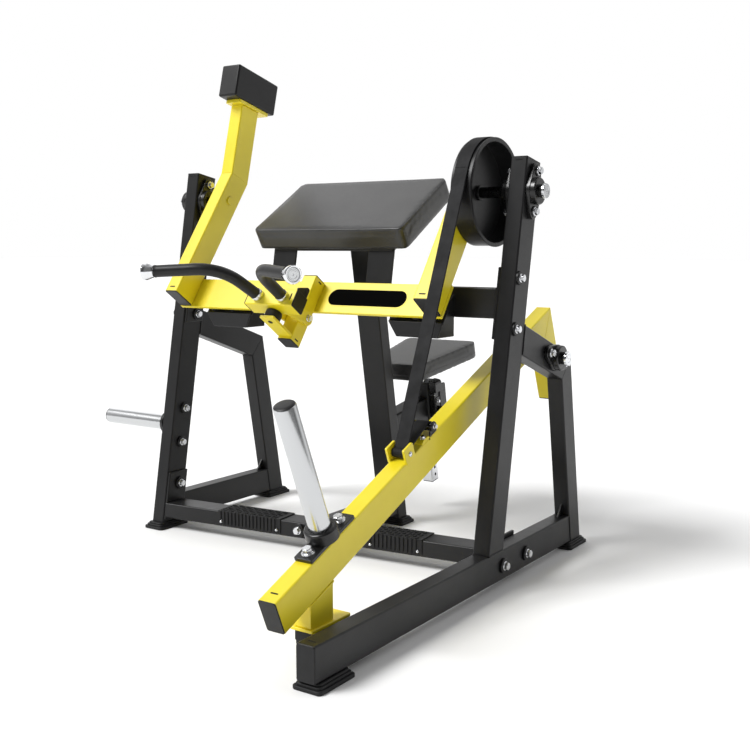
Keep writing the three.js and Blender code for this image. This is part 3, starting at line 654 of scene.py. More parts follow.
def build_feet():
    """Moulded feet: a flat sole with a sloping rounded shoulder up to the tube."""
    for node in ("foot_right_front", "foot_right_rear", "foot_left_front", "foot_left_rear", "foot_centre"):
        low, high = (MACHINE.inverted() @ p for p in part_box(node))
        shapes = []
        for inset, z0, z1 in ((0, 0, 9), (5, 8, 15), (9, 14, 20)):
            outline = rounded_rectangle((low.x + inset, high.x - inset), (low.y + inset, high.y - inset), 10)
            shapes.append(plan_drawn(outline, z0, z1))
        piece(node + "_moulding", "root", merged(shapes), RUBBER, edge=2.2, segments=3, stands_for=[node])


# ---- cross members -----------------------------------------------------------------------------
CROSS_SLOPE = 116 / (2 * INNER)


def crossbar_y(x):
    return 812 + x * CROSS_SLOPE


def leaning_plate(inset, z0, z1, x0, x1):
    front = [upright_back(z) - DEPTH / math.cos(math.radians(LEAN)) + inset for z in (z0, z1)]
    back = [upright_back(z) - inset for z in (z0, z1)]
    return side_drawn([(front[0], z0), (back[0], z0), (back[1], z1), (front[1], z1)], x0, x1)


def build_mid_beam():
    end = INNER - 0.3
    beam = block((-end + 8, end - 8), (850, 897), (696, 776))
    piece("mid_beam_tube", "root", beam, BLACK, edge=1, grain_edge=3.6, segments=3, stands_for=["mid_beam"])
    plates = [leaning_plate(4, 645, 830, -end, -end + 8), leaning_plate(4, 645, 830, end - 8, end)]
    piece("mid_beam_end_plates", "root", merged(plates), BLACK, edge=2)
    rings = [weld_ring_x(s * (end - 8), (850, 897), (696, 776)) for s in (-1, 1)]
    piece("mid_beam_welds", "root", merged(rings), BLACK, edge=0)
    out = [((OUT, y, z), (1, 0, 0)) for y, z in ((867, 802), (849, 672))]
    left = [((-OUT, y, z), (-1, 0, 0)) for y, z in ((867, 802), (849, 672))]
    inside = [((-end + 8, y, z), (1, 0, 0)) for y, z in ((874, 812), (874, 669))]
    fasten_through("mid_beam", out + left + inside)


def fasten_through(name, seats, size=10, radius=18):
    """Through bolts: a thick black cup washer on each seat and a chromed head standing out of it."""
    thick = 6
    bolts = [(tuple(Vector(p) + Vector(w) * thick), w, size) for p, w in seats]
    fasten(name, "root", bolts, [(p, w, radius, thick) for p, w in seats])


def weld_ring_x(x, y, z):
    """A weld bead round a tube that runs along X."""
    return weld_bead([(x, y[0], z[0]), (x, y[1], z[0]), (x, y[1], z[1]), (x, y[0], z[1])])


def build_lower_crossbar():
    end = INNER - 0.3
    half = 40 / math.cos(math.atan(CROSS_SLOPE))
    reach = end - 8
    outline = [(-reach, crossbar_y(-reach) - half), (reach, crossbar_y(reach) - half),
               (reach, crossbar_y(reach) + half), (-reach, crossbar_y(-reach) + half)]
    piece("lower_crossbar_tube", "root", plan_drawn(outline, 36, 83), BLACK, edge=1, grain_edge=3.6,
          segments=3, stands_for=["lower_crossbar"])
    plates = [leaning_plate(2, 30, 175, -end, -reach), block((reach, end), (780, 960), (26, 110))]
    piece("lower_crossbar_end_plates", "root", merged(plates), BLACK, edge=2)
    right = [((OUT, 804, 58), (1, 0, 0)), ((OUT, 936, 59), (1, 0, 0))]
    left = [((-reach, 780, 137), (1, 0, 0)), ((-OUT, 780, 137), (-1, 0, 0))]
    front = ((-50, crossbar_y(-50) - half, 60), (0, -1, 0))
    fasten_through("lower_crossbar", right + left + [front], 10.5, 20)


def build_foot_rests():
    """Moulded treads over the crossbar: raised diamonds on top, ribs down the front, a screw at each end."""
    for side, x0, x1 in (("left", -341, -117), ("right", 172, 343)):
        turn = Matrix.Translation((0, crossbar_y(0), 0)) @ Matrix.Rotation(math.atan(CROSS_SLOPE), 4, "Z")
        stretch = 1 / math.cos(math.atan(CROSS_SLOPE))
        a, b = x0 * stretch, x1 * stretch
        plate = block((a, b), (-43.3, 40), (83.3, 86))
        skirt = block((a, b), (-42.8, -40.4), (42, 85))
        bm = merged([plate, skirt, *tread_diamonds(a, b), *skirt_ribs(a, b)])
        bm.transform(turn)
        node = f"foot_rest_{side}"
        piece(node + "_tread", "root", bm, RUBBER, edge=0.5, segments=1, stands_for=[node])
        screws = []
        for x in (a + 12, b - 12):
            place = turn @ Vector((x, -43.3, 52))
            screws.append((tuple(place), (0, -1, 0), 3.6))
        fasten(node, "root", screws, [])


def tread_diamonds(a, b):
    """Raised diamonds that lean to either side by turns, each given by its reach along X and Y."""
    pitch, long_reach, short_reach = 13.0, 6.5 * 0.7, 3.0 * 0.7
    shapes = []
    columns, rows = int((b - a - 8) / pitch), 6
    for i in range(columns):
        for j in range(rows):
            x = a + 10 + pitch * i
            y = -36 + pitch * j
            lean = 1 if (i + j) % 2 else -1
            ends = [(x + s * long_reach, y + s * lean * long_reach) for s in (-1, 1)]
            sides = [(x + s * lean * short_reach, y - s * short_reach) for s in (-1, 1)]
            shapes.append(plan_drawn([ends[0], sides[0], ends[1], sides[1]], 85.8, 88.4))
    return shapes


def skirt_ribs(a, b):
    pitch = 13
    count = int((b - a - 8) / pitch)
    return [block((a + 4 + pitch * i, a + 12 + pitch * i), (-45.6, -42), (46, 84.5)) for i in range(count)]


def build_centre():
    piece("centre_post_tube", "root", node_hull("centre_post"), BLACK, edge=1.2, grain_edge=3.6, segments=3,
          stands_for=["centre_post"])
    piece("centre_base_tube", "root", node_hull("centre_base_beam"), BLACK, edge=1, grain_edge=3.6,
          segments=3, stands_for=["centre_base_beam"])
    low, high = (MACHINE.inverted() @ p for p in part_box("centre_base_beam"))
    welds = [weld_ring_y(high.y - 4, (-40, 40), (38, 83)), weld_ring_y(low.y + 4, (-40, 40), (38, 83))]
    piece("centre_welds", "root", merged(welds), BLACK, edge=0)


def weld_ring_y(y, x, z):
    """A weld bead round a tube that runs along Y."""
    return weld_bead([(x[0], y, z[0]), (x[1], y, z[0]), (x[1], y, z[1]), (x[0], y, z[1])])


# ---- yoke rest stops, bumper and horn ----------------------------------------------------------
def build_rest_stops():
    stops = {
        "left": ((-396, -221), (-366, -240), (-360, -256), (-368, -294)),
        "right": ((262, 431), (288, 417), (312, 392), (276, 348)),
    }
    front, back, under = 764, 849.7, 645
    for side, (top, low, base, discs) in stops.items():
        leaning = moved(block(top, (62, 70), (-374, -330)), ARM)
        hanging = [(low[0], under), (low[1], under), (top[1], 686), (top[0], 686)]
        hanging = front_drawn(hanging, front, front + 6)
        floor = block((low[0] + 0.4, low[1] - 0.4), (front + 1, back), (under - 0.6, under + 5))
        web = [(front + 2, under), (back, under), (back, 757), (792, 712), (front + 2, 682)]
        webs = [side_drawn(web, x, x + 5) for x in (low[0] - 0.3, low[1] - 4.7)]
        plate = block(base, (back - 8, back), (under + 5, 770))
        node = f"rest_stop_{side}"
        piece(node + "_pan", "root", merged([leaning, hanging, floor, *webs, plate]), BLACK, edge=1.6,
              segments=3, stands_for=[node])
        pads = []
        for x in discs:
            profile = [(0, 50.3), (12.5, 50.3), (15, 52.5), (15, 61.7), (0, 61.7)]
            disc = turned(profile, "Z", segments=40)
            disc.transform(Matrix.Translation((x, 0, -352)) @ Matrix.Rotation(-math.pi / 2, 4, "X"))
            pads.append(disc)
        node = f"rest_buffer_{side}"
        piece(node + "_discs", "root", merged(pads), RUBBER, ARM, edge=0, stands_for=[node])
        mark = painted_slot_shade((base[1] - 6, back - 8, 700), (0, 0, 1), (0, -1, 0), 22, 3)
        piece(node + "_slot", "root", mark, HOLE_SHADE, edge=0)


def build_bumper_and_horn():
    low, high = (MACHINE.inverted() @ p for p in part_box("lever_bumper"))
    rubber = plan_drawn(rounded_rectangle((low.x, low.x + 62), (low.y, high.y), 6), 46, high.z)
    piece("lever_bumper_block", "root", rubber, RUBBER, edge=2, segments=3, stands_for=["lever_bumper"])
    bracket = merged([block((low.x + 2, high.x), (low.y + 4, high.y - 4), (36, 45.8)),
                      block((high.x - 8, high.x), (low.y - 6, high.y + 6), (24, 92))])
    piece("lever_bumper_bracket", "root", bracket, BLACK, edge=1.2)
    profile = [(0, -872), (23, -872), (25, -870), (25, -605), (0, -605)]
    piece("storage_horn_bar", "root", turned(profile, "X", HORN, 72), SLEEVE_CHROME, edge=0,
          stands_for=["storage_horn"])
    disc = [(0, -609), (35.5, -609), (37.5, -607), (37.5, -597.3), (0, -597.3)]
    piece("storage_horn_flange", "root", turned(disc, "X", HORN, 64), GLOSS_BLACK, edge=0)
    cap = [(0, -874.6), (20, -874.6), (24, -873.4), (24.8, -871), (0, -871)]
    piece("storage_horn_cap", "root", turned(cap, "X", HORN, 64), PLASTIC, edge=0)
    seats = [((-INNER, 817, 372), (1, 0, 0)), ((-INNER, 798, 266), (1, 0, 0))]
    fasten_through("storage_horn", seats)


# ---- bearings ----------------------------------------------------------------------------------
def flange_outline(spacing, end_radius, middle_radius):
    d = spacing / 2
    tangent = math.degrees(math.acos((middle_radius - end_radius) / d))
    return (arc((0, d), end_radius, 90 - tangent, 90 + tangent, 10)
            + arc((0, 0), middle_radius, 90 + tangent, 270 - tangent, 10)
            + arc((0, -d), end_radius, 270 - tangent, 270 + tangent, 10)
            + arc((0, 0), middle_radius, 270 + tangent, 450 - tangent, 10))


def build_bearing(node, x0, way, place):
    """A cast two-bolt bearing: oval flange, stepped nose, inner ring, and its two bolts."""
    flange = side_drawn(flange_outline(106, 20, 37), *sorted((x0, x0 + way * 11)))
    nose = [(0, 5), (36.5, 5), (36, 9), (35, 12), (35, 22.4), (33.6, 24.4), (31.5, 25), (0, 25)]
    boss = [(0, 10), (14.5, 10), (13.5, 14), (0, 14)]
    ring = [(0, 24), (17.2, 24), (17.2, 32.6), (16.2, 33.6), (0, 33.6)]

    def turned_out(profile, z, segments):
        return turned([(r, x0 + way * a) for r, a in profile], "X", (0, 0, z), segments)

    nose = turned_out(nose, 0, 56)
    bosses = [turned_out(boss, z, 32) for z in (53, -53)]
    piece(node + "_casting", "root", merged([flange, nose, *bosses]), GLOSS_BLACK, place, edge=1.6,
          segments=3, stands_for=[node], slot="bearing_black")
    piece(node + "_ring", "root", turned_out(ring, 0, 48), GLOSS_BLACK, place, edge=0, slot="bearing_black")
    bolts = [((x0 + way * 14, 0, z), (way, 0, 0), 10) for z in (53, -53)]
    fasten(node, "root", bolts, [], place)


def build_bearings():
    out, inn = OUT + 0.3, INNER - 0.3
    build_bearing("yoke_bearing_right_outer", out, 1, TILTED_PIVOT)
    build_bearing("yoke_bearing_right_inner", inn, -1, TILTED_PIVOT)
    build_bearing("yoke_bearing_left_inner", -inn, 1, TILTED_PIVOT)
    build_bearing("yoke_bearing_left_outer", -out, -1, TILTED_PIVOT)
    build_bearing("lever_bearing", out, 1, LEVER_BEARING)


# ---- yoke --------------------------------------------------------------------------------------
def shaft_profile(start, way=1):
    """A shaft from its given first points out through the bearing to a round head with a turned groove."""
    head = [(15, 0), (15, 35), (18.4, 35), (19.8, 36.4), (19.8, 41.4), (18.2, 43), (12.4, 43), (11.6, 42),
            (10.6, 43), (2.6, 43), (0, 40)]
    return start + [(r, way * (OUT + a)) for r, a in head]


def build_arms():
    lower = node_hull("left_arm", ARM, lambda p: p.z < 118 and abs(p.x + 469.5) < 24 and p.y < 41)
    piece("left_arm_lower", "yoke", lower, YELLOW, ARM, edge=1.2, grain_edge=3.6, segments=3,
          stands_for=["left_arm"])
    upper = node_hull("left_arm", UPPER, lambda p: -240 < p.z < -0.5 and abs(p.x + 469.5) < 24)
    piece("left_arm_upper", "yoke", upper, YELLOW, UPPER, edge=1.2, grain_edge=3.6, segments=3)
    plate = plan_drawn(rounded_rectangle((-500, -439), (-60, 80), 5), 0, 10.5)
    piece("counterweight_plate", "yoke", plate, YELLOW, UPPER, edge=1)
    piece("right_arm_tube", "yoke", node_hull("right_arm", ARM), YELLOW, ARM, edge=1.2, grain_edge=3.6,
          segments=3, stands_for=["right_arm"])
    for x0, x1 in ((-493, -446), (387, 434)):
        cap = plan_drawn(rounded_rectangle((x0 + 0.3, x1 - 0.3), (-39.7, 39.7), 5), -365, -361.5)
        piece(f"arm_cap_{'left' if x0 < 0 else 'right'}", "yoke", cap, PLASTIC, ARM, edge=1)
    marks = [painted_slot_shade((x, -40, -348), (1, 0, 0), (0, -1, 0)) for x in (-469.5, 410.5)]
    piece("arm_slots", "yoke", merged(marks), HOLE_SHADE, ARM, edge=0)


def build_yoke():
    build_arms()
    plate = front_drawn(rounded_rectangle((-493, 434), (-367, -267), 3), 40.3, 50)
    piece("cross_plate_bar", "yoke", plate, YELLOW, ARM, edge=1.2, segments=3, stands_for=["cross_plate"])
    badge = front_drawn(rounded_rectangle((54, 310), (-343, -291), 25.9, 16), 38.6, 40.6)
    piece("badge", "yoke", badge, BADGE, ARM, edge=0.8)
    rim = front_drawn(rounded_rectangle((50.5, 313.5), (-346.5, -287.5), 29.4, 16), 39.6, 40.6)
    piece("badge_rim", "yoke", rim, YELLOW, ARM, edge=0.4)
    weight = block((-506, -433), (-91, 102), (11, 111.5))
    piece("counterweight_block", "yoke", weight, BLACK, UPPER, edge=5.5, segments=4,
          stands_for=["counterweight"])
    build_drum()
    build_carrier()


def build_drum():
    drum = [(15, 434.3), (138, 434.3), (140, 436), (140, 490.5), (143, 491), (143, 494), (142, 495),
            (133.5, 495), (132, 493.5), (132, 441.5), (20, 441.5), (20, 449), (19, 450), (15, 450)]
    piece("drum_shell", "yoke", turned(drum, "X", (0, *PIVOT), 160), BLACK, edge=0, stands_for=["drum"])
    clamp = side_drawn(arc((0, 0), 131.8, 248, 282, 10) + [(22, -104), (-42, -96)], 441.6, 452)
    piece("drum_clamp", "yoke", clamp, BLACK, TILTED_PIVOT, edge=1)
    fasten("drum_clamp", "yoke", [((452, y, -116), (1, 0, 0), 7) for y in (-24, 10)], [], TILTED_PIVOT)
    shaft = turned([(0, 436), (15, 436), (15, OUT), (0, OUT)], "X", (0, *PIVOT), 64)
    piece("drum_shaft_bar", "yoke", shaft, GLOSS_BLACK, edge=0, stands_for=["drum_shaft"],
          slot="bearing_black")
    end = turned(shaft_profile([(0, OUT)]), "X", (0, *PIVOT), 64)
    piece("drum_shaft_end", "yoke", end, SLEEVE_CHROME, edge=0)
    left = turned(shaft_profile([(0, -446), (15, -446)], -1), "X", (0, *PIVOT), 64)
    piece("left_shaft_bar", "yoke", left, CHROME, edge=0, stands_for=["left_shaft"])
    boss = turned([(0, -447), (12.5, -447), (12.5, -443.2), (11.3, -442), (0, -442)], "X", (0, *PIVOT), 40)
    piece("left_shaft_boss", "yoke", boss, YELLOW, edge=0)


def build_carrier():
    half = TUBE / 2
    tube = block((-half, half), (-7, 40), (-483, -278))
    piece("handle_carrier_tube", "yoke", tube, YELLOW, ARM, edge=1.0, grain_edge=3.2, segments=3,
          stands_for=["handle_carrier"])
    for name, z0, z1 in (("top", -278.3, -275.5), ("bottom", -486, -483)):
        cap = plan_drawn(rounded_rectangle((-half + 0.2, half - 0.2), (-6.8, 39.8), 4.5), z0, z1)
        piece(f"carrier_cap_{name}", "yoke", cap, PLASTIC, ARM, edge=0.9)
    stop = plan_drawn(rounded_rectangle((-half, half), (-103, -6.5), 3), -477, -470)
    piece("handle_stop_plate", "yoke", stop, YELLOW, ARM, edge=0.8)
    # The stop plate's hole as a thin dark disc: painted shade of its inside.
    hole = turned([(0, -477.5), (7, -477.5), (7, -476.8), (0, -476.8)], "Z", (0, -80, 0), 32)
    piece("handle_stop_hole", "yoke", hole, HOLE_SHADE, ARM, edge=0)
    marks = [painted_slot_shade((half, 17, z), (0, 1, 0), (1, 0, 0), 15) for z in (-287, -474)]
    piece("carrier_slots", "yoke", merged(marks), HOLE_SHADE, ARM, edge=0)
    buffer = [(0, -469.7), (22, -469.7), (23, -468.5), (23, -450), (22, -446.6), (20, -445.4), (0, -445.4)]
    piece("handle_buffer_block", "yoke", turned(buffer, "Z", (0, -80, 0), 48), RUBBER, ARM, edge=0,
          stands_for=["handle_buffer"])


# ---- belt --------------------------------------------------------------------------------------
BELT_WIDTH = 38
BELT_THICK = 4.5
BELT_X = 463              # middle of the belt on the drum
LEVER_MIDDLE = 473.5      # middle of the lever in X
DRUM_R = 140.3            # inner face of the belt on the drum


def belt_pin():
    c, s = math.cos(math.radians(LEVER_SLOPE)), math.sin(math.radians(LEVER_SLOPE))
    return LEVER_PIVOT[0] - 620 * c - 60 * s, LEVER_PIVOT[1] - 620 * s + 60 * c


def belt_run():
    """(pin, angle of the free belt above the horizontal in radians, its length)."""
    pin = belt_pin()
    radius = DRUM_R + BELT_THICK / 2
    away = Vector((PIVOT[0] - pin[0], PIVOT[1] - pin[1]))
    angle = math.atan2(away.y, away.x) + math.asin(radius / away.length)
    return pin, angle, math.sqrt(away.length_squared - radius * radius)


def belt_arc(start, end, inner, outer, width):
    steps = 72
    outline = arc(PIVOT, outer, start, end, steps) + arc(PIVOT, inner, end, start, steps)
    return side_drawn(outline, BELT_X - width / 2, BELT_X + width / 2)


def build_belt():
    pin, angle, free = belt_run()
    half, thick = BELT_WIDTH / 2, BELT_THICK / 2
    way = Vector((math.cos(angle), math.sin(angle)))
    off = Vector((-way.y, way.x))
    steps = 40
    bm = bmesh.new()
    rows = []
    for i in range(steps + 1):
        share = i / steps
        along = -6 + (free + 6) * share
        x = LEVER_MIDDLE + (BELT_X - LEVER_MIDDLE) * share
        middle = Vector(pin) + way * along
        row = []
        for sx, st in ((-1, -1), (1, -1), (1, 1), (-1, 1)):
            spot = middle + off * st * thick
            row.append(bm.verts.new((x + sx * half, spot.x, spot.y)))
        rows.append(row)
    for a, b in zip(rows, rows[1:]):
        for k in range(4):
            bm.faces.new((a[k], a[(k + 1) % 4], b[(k + 1) % 4], b[k]))
    bm.faces.new(rows[0])
    bm.faces.new(rows[-1])
    bmesh.ops.recalc_face_normals(bm, faces=bm.faces)
    span = piece("belt_free_run", "root", bm, BELT, edge=1.0, segments=2, stands_for=["belt_span"])
    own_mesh(span)
    start = math.degrees(angle) + 90
    wrap = belt_arc(-75, start, DRUM_R, DRUM_R + BELT_THICK, BELT_WIDTH)
    piece("belt_on_drum", "yoke", wrap, BELT, edge=0.8, stands_for=["belt_wrap"])
    over = belt_arc(40, start, DRUM_R + 0.4, DRUM_R + BELT_THICK - 0.4, BELT_WIDTH - 1)
    piece("belt_over_top", "root", over, BELT, edge=0)


# ---- curl handle -------------------------------------------------------------------------------
def handle_path(side, first, last):
    """Points along one bar: straight out of the block, round the bend, then straight to the end."""
    root, bend, end = Vector((side * 41.5, -118, -420)), Vector((side * 57.8, -268, -432)), Vector(
        (side * 240, -328.8, -487.8))
    before, after = bend.lerp(root, 0.5), bend.lerp(end, 0.38)
    points = [root.lerp(before, first + (1 - first) * i / 6) for i in range(6)]
    for i in range(17):
        t = i / 16
        points.append(before * (1 - t) ** 2 + bend * 2 * t * (1 - t) + after * t * t)
    points += [after.lerp(end, last * i / 6) for i in range(1, 7)]
    return points


def aimed(bm, start, toward):
    """A piece turned about Z, laid so that its axis runs from start toward a point."""
    return seated(bm, start, (toward - start).normalized())


def build_handle():
    block_tube = block((-80, 80), (-118, -68), (-445, -395))
    piece("handle_block_tube", "handle", block_tube, YELLOW, ARM, edge=1.0, grain_edge=3.2, segments=3,
          stands_for=["handle_block"])
    for s in (-1, 1):
        side = "left" if s < 0 else "right"
        outline = [(-69, -442), (12, -423)] + arc((18, -402), 21, -90, 90, 18) + [(-69, -398)]
        lug = side_drawn(outline, *sorted((s * 24.3, s * 32.3)))
        piece(f"handle_lug_{side}", "handle", lug, YELLOW, ARM, edge=1)
        cap = side_drawn(rounded_rectangle((-118, -68), (-445, -395), 4.5), *sorted((s * 80, s * 83)))
        piece(f"handle_block_cap_{side}", "handle", cap, PLASTIC, ARM, edge=0.9)
        build_bar(side, s)
    bolts = [bolt((s * 33, 18, -402), (s, 0, 0), 9) for s in (-1, 1)]
    barrel = rod(8, -33, 33, "X", (0, 18, -402))
    piece("handle_pivot", "handle", merged(bolts + [barrel]), ZINC, ARM, edge=0.4,
          stands_for=["handle_pivot_bolt"])
    outline = [(-116.5, -396), (-72, -396), (-71.6, -374)] + arc((-77, -371.5), 5, 0, 90, 5)
    outline += [(-83, -366.8), (-117, -389.5)]
    tab = side_drawn(outline, 77, 81)
    piece("handle_block_tab", "handle", tab, BLACK, ARM, edge=0.9)
    mark = painted_slot_shade((68, -118, -418), (0, 0, 1), (0, -1, 0))
    piece("handle_block_slot", "handle", mark, HOLE_SHADE, ARM, edge=0)
    # The tab's eye as a thin dark disc: painted shade of its inside.
    eye = turned([(0, 80.6), (4.4, 80.6), (4.4, 81.3), (0, 81.3)], "X", (0, -86, -382), 24)
    piece("handle_block_tab_hole", "handle", eye, HOLE_SHADE, ARM, edge=0)


def build_bar(side, s):
    points = handle_path(s, 0.0, 1.0)
    core = swept(points, 11.2, 24)
    collar = aimed(turned([(0, -1), (16.5, -1), (17.5, 1), (17.5, 12), (16, 15), (0, 15)], "Z", segments=48),
                   points[0], points[1])
    cup = [(0, -7), (16.6, -7), (17.6, -13), (18.6, -14), (21, -14), (23, -11.5), (23, -5),
           (20.5, 3), (17.2, 12), (16.4, 17), (0, 17)]
    plug = [(0, -10), (1.6, -10.2), (2.4, -11.4), (9.6, -11.4), (10.4, -12.4), (13, -12.4), (13.8, -11),
            (16.4, -11), (16.4, -6), (0, -6)]
    disc = aimed(turned(plug, "Z", segments=56), points[-1], points[-2])
    piece(f"handle_plug_{side}", "handle", disc, SLEEVE_CHROME, ARM, edge=0)
    end = aimed(turned(cup, "Z", segments=64), points[-1], points[-2])
    piece(f"handle_collar_{side}", "handle", collar, ZINC, ARM, edge=0)
    piece(f"handle_bar_{side}_chrome", "handle", merged([core, end]), CHROME, ARM, edge=0,
          stands_for=[f"handle_bar_{side}"])
    grip = handle_path(s, 0.2, 0.845)

    def grip_radius(share):
        lip = 1.3 * sum(math.exp(-((share - end) / 0.012) ** 2) for end in (0.0, 1.0))
        return 16 + lip

    first = [grip[0].lerp(grip[1], i / 4) for i in range(4)]
    last = [grip[-2].lerp(grip[-1], i / 4) for i in range(1, 5)]
    fine = first + grip[1:-1] + last
    piece(f"grip_{side}_sleeve", "handle", swept(fine, grip_radius, 32), GRIP, ARM, edge=1.2, segments=3,
          stands_for=[f"grip_{side}"])


# ---- lever -------------------------------------------------------------------------------------
def build_lever():
    x0, x1 = 450, 497
    arm = side_drawn([(-1166.2, -35), (141, -35), (221, 45), (-1166.2, 45)], x0, x1)
    piece("lever_tube", "lever", arm, YELLOW, LEVER, edge=1.2, grain_edge=3.6, segments=3,
          stands_for=["lever_arm"])
    tail = side_drawn([(141, -221), (221, -221), (221, 45), (141, -35)], x0, x1)
    piece("lever_tail", "lever", tail, YELLOW, LEVER, edge=1.2, grain_edge=3.6, segments=3)
    cap = front_drawn(rounded_rectangle((x0 + 0.3, x1 - 0.3), (-34.7, 44.7), 5), -1169.5, -1166)
    piece("lever_nose_cap", "lever", cap, PLASTIC, LEVER, edge=1, stands_for=["lever_end_cap"])
    foot = plan_drawn(rounded_rectangle((x0 + 0.3, x1 - 0.3), (141.3, 220.7), 5), -224, -220.6)
    piece("lever_tail_cap", "lever", foot, PLASTIC, LEVER, edge=1)
    marks = [painted_slot_shade((473.5, -1140, 45), (1, 0, 0), (0, 0, 1)),
             painted_slot_shade((497, 181, -200), (0, 1, 0), (1, 0, 0)),
             painted_slot_shade((497, -523, 42), (0, 1, 0), (1, 0, 0), 5, 4.6)]
    piece("lever_slots", "lever", merged(marks), HOLE_SHADE, LEVER, edge=0)
    build_sleeve()
    build_clevis(x0, x1)
    shaft = shaft_profile([(0, 441), (23, 441), (25, 443), (25, 449.7), (15, 449.7)])
    piece("lever_shaft_bar", "lever", turned(shaft, "X", segments=64), CHROME, LEVER, edge=0,
          stands_for=["lever_shaft"])
    spacer = turned([(15.4, 500), (24, 500), (24, 544), (15.4, 544)], "X", segments=48)
    piece("lever_spacer", "root", spacer, GLOSS_BLACK, LEVER, edge=1, slot="bearing_black")
    build_stop_post(x0, x1)


def build_sleeve():
    x, y = SLEEVE
    tube = [(0, 54.3), (25, 54.3), (25, 382), (23.5, 384), (0, 384)]
    piece("weight_sleeve_bar", "lever", turned(tube, "Z", (x, y, 0), 96), SLEEVE_CHROME, LEVER, edge=0,
          stands_for=["weight_sleeve"])
    cap = [(0, 387.4), (15, 387.4), (21, 386.6), (23.6, 384.6), (23.6, 383), (0, 383)]
    piece("sleeve_top_cap", "lever", turned(cap, "Z", (x, y, 0), 64), PLASTIC, LEVER, edge=0)
    plate = plan_drawn(rounded_rectangle((449.4, 497.6), (-1036, -865), 4), 45.3, 54)
    collar = [(0, 53), (37.5, 53), (37.5, 80), (34.5, 83), (25.4, 83), (25.4, 80), (0, 80)]
    collar = turned(collar, "Z", (x, y, 0), 80)
    piece("sleeve_flange", "lever", merged([plate, collar]), GLOSS_BLACK, LEVER, edge=1.3, segments=3,
          stands_for=["sleeve_base"])
    seats = (-1013, -893)
    bolts = [((473.5, at, 56.5), (0, 0, 1), 11.5) for at in seats]
    fasten("sleeve_flange", "lever", bolts, [], LEVER)
    ring = [(0, 53.8), (15.5, 53.8), (15.5, 55.8), (14.5, 56.8), (0, 56.8)]
    rings = [turned(ring, "Z", (473.5, at, 0), 40) for at in seats]
    piece("sleeve_flange_rings", "lever", merged(rings), ZINC, LEVER, edge=0)


def build_clevis(x0, x1):
    outline = rounded_rectangle((-641, -600), (40, 81), 4)
    ears = [side_drawn(outline, x0 - 4, x0 + 3), side_drawn(outline, x1 - 2.5, x1 + 4.5)]
    piece("belt_ears", "lever", merged(ears), YELLOW, LEVER, edge=1.2, segments=3)
    heads = []
    for x, way in ((x0 - 4, -1), (x1 + 4.5, 1)):
        dome = turned([(0, 0), (7, 0), (6.4, 2.2), (4.4, 3.6), (0, 4.2)], "Z", segments=32)
        heads.append(seated(dome, (x, -620, 60), (way, 0, 0)))
    pin = merged([rod(6, x0 - 4, x1 + 4, "X", (0, -620, 60), 32), *heads])
    piece("belt_pin", "lever", pin, ZINC, LEVER, edge=0)
    build_belt_end(x0, x1)


def build_belt_end(x0, x1):
    """The belt's eye round the pin, its tail up to the clamp roller, and the clamp on the lever's top."""
    half = BELT_WIDTH / 2
    eye, roll = (-620, 60), (-502, 67)
    ring = arc(eye, 11.5, 0, 340, 28) + arc(eye, 6.4, 340, 0, 28)
    strap = [(-611, 66), (-504, 79.5), (-501, 76), (-609, 61.5)]
    wrap = arc(roll, 12, 100, -120, 16) + arc(roll, 8, -120, 100, 16)
    left, right = LEVER_MIDDLE - half, LEVER_MIDDLE + half
    tail = merged([side_drawn(outline, left, right) for outline in (ring, strap, wrap)])
    piece("belt_tail", "lever", tail, BELT, LEVER, edge=0.6)
    roller = [rod(8, x0 - 6, x1 + 6, "X", (0, *roll), 40, 1)]
    for x, way in ((x0 - 2, -1), (x1 + 2, 1)):
        roller.append(rod(12.5, *sorted((x, x + way * 5)), "X", (0, *roll), 40, 1.2))
    cheek = [(-522, 46), (-486, 46), (-492, 70), (-500, 76), (-508, 72)]
    cheeks = [side_drawn(cheek, x, x + 4) for x in (x0 - 1, x1 - 3)]
    piece("belt_clamp", "lever", merged(roller + cheeks), GLOSS_BLACK, LEVER, edge=0.8,
          stands_for=["belt_buckle"])
    tab = [(-556, 44), (-482, 44), (-482, 48), (-520, 49.5), (-532, 53), (-546, 53), (-556, 48)]
    piece("belt_clamp_base", "lever", side_drawn(tab, x0 + 1, x1 - 1), YELLOW, LEVER, edge=0.8)
    bolts = [((x1 + 7, *roll), (1, 0, 0), 6), ((x0 - 7, *roll), (-1, 0, 0), 6)]
    bolts += [((x, -539, 53), (0, 0, 1), 6) for x in (x0 + 8, x1 - 8)]
    fasten("belt_clamp", "lever", bolts, [], LEVER)


def build_stop_post(x0, x1):
    def underside(y):
        c = math.cos(math.radians(LEVER_SLOPE))
        return LEVER_PIVOT[1] - 35 / c + (y - LEVER_PIVOT[0]) * math.tan(math.radians(LEVER_SLOPE)) - 0.3

    post = side_drawn([(117, 76.5), (197, 76.5), (197, underside(197)), (117, underside(117))], x0, x1)
    piece("stop_post_tube", "lever", post, YELLOW, edge=2.5, segments=3, stands_for=["stop_post"])
    plate = plan_drawn(rounded_rectangle((442, 505), (112, 252), 5), 70, 77)
    piece("stop_post_foot", "lever", plate, YELLOW, edge=1.1)
    weld = weld_ring((117, underside(117)), (197, underside(197)), (x0, x1))
    piece("stop_post_welds", "lever", weld, YELLOW, edge=0)


# ---- soft parts --------------------------------------------------------------------------------
def soft_shell(outline, z0, z1, place, radius):
    """A closed cushion blank with rounded top and bottom edges, in metres."""
    bm = plan_drawn(outline, z0, z1)
    rims = [e for e in bm.edges if abs(e.verts[0].co.z - e.verts[1].co.z) < 0.01]
    bmesh.ops.bevel(bm, geom=rims, offset=radius, segments=3, profile=0.5, affect="EDGES")
    bm.transform(place)
    return bm


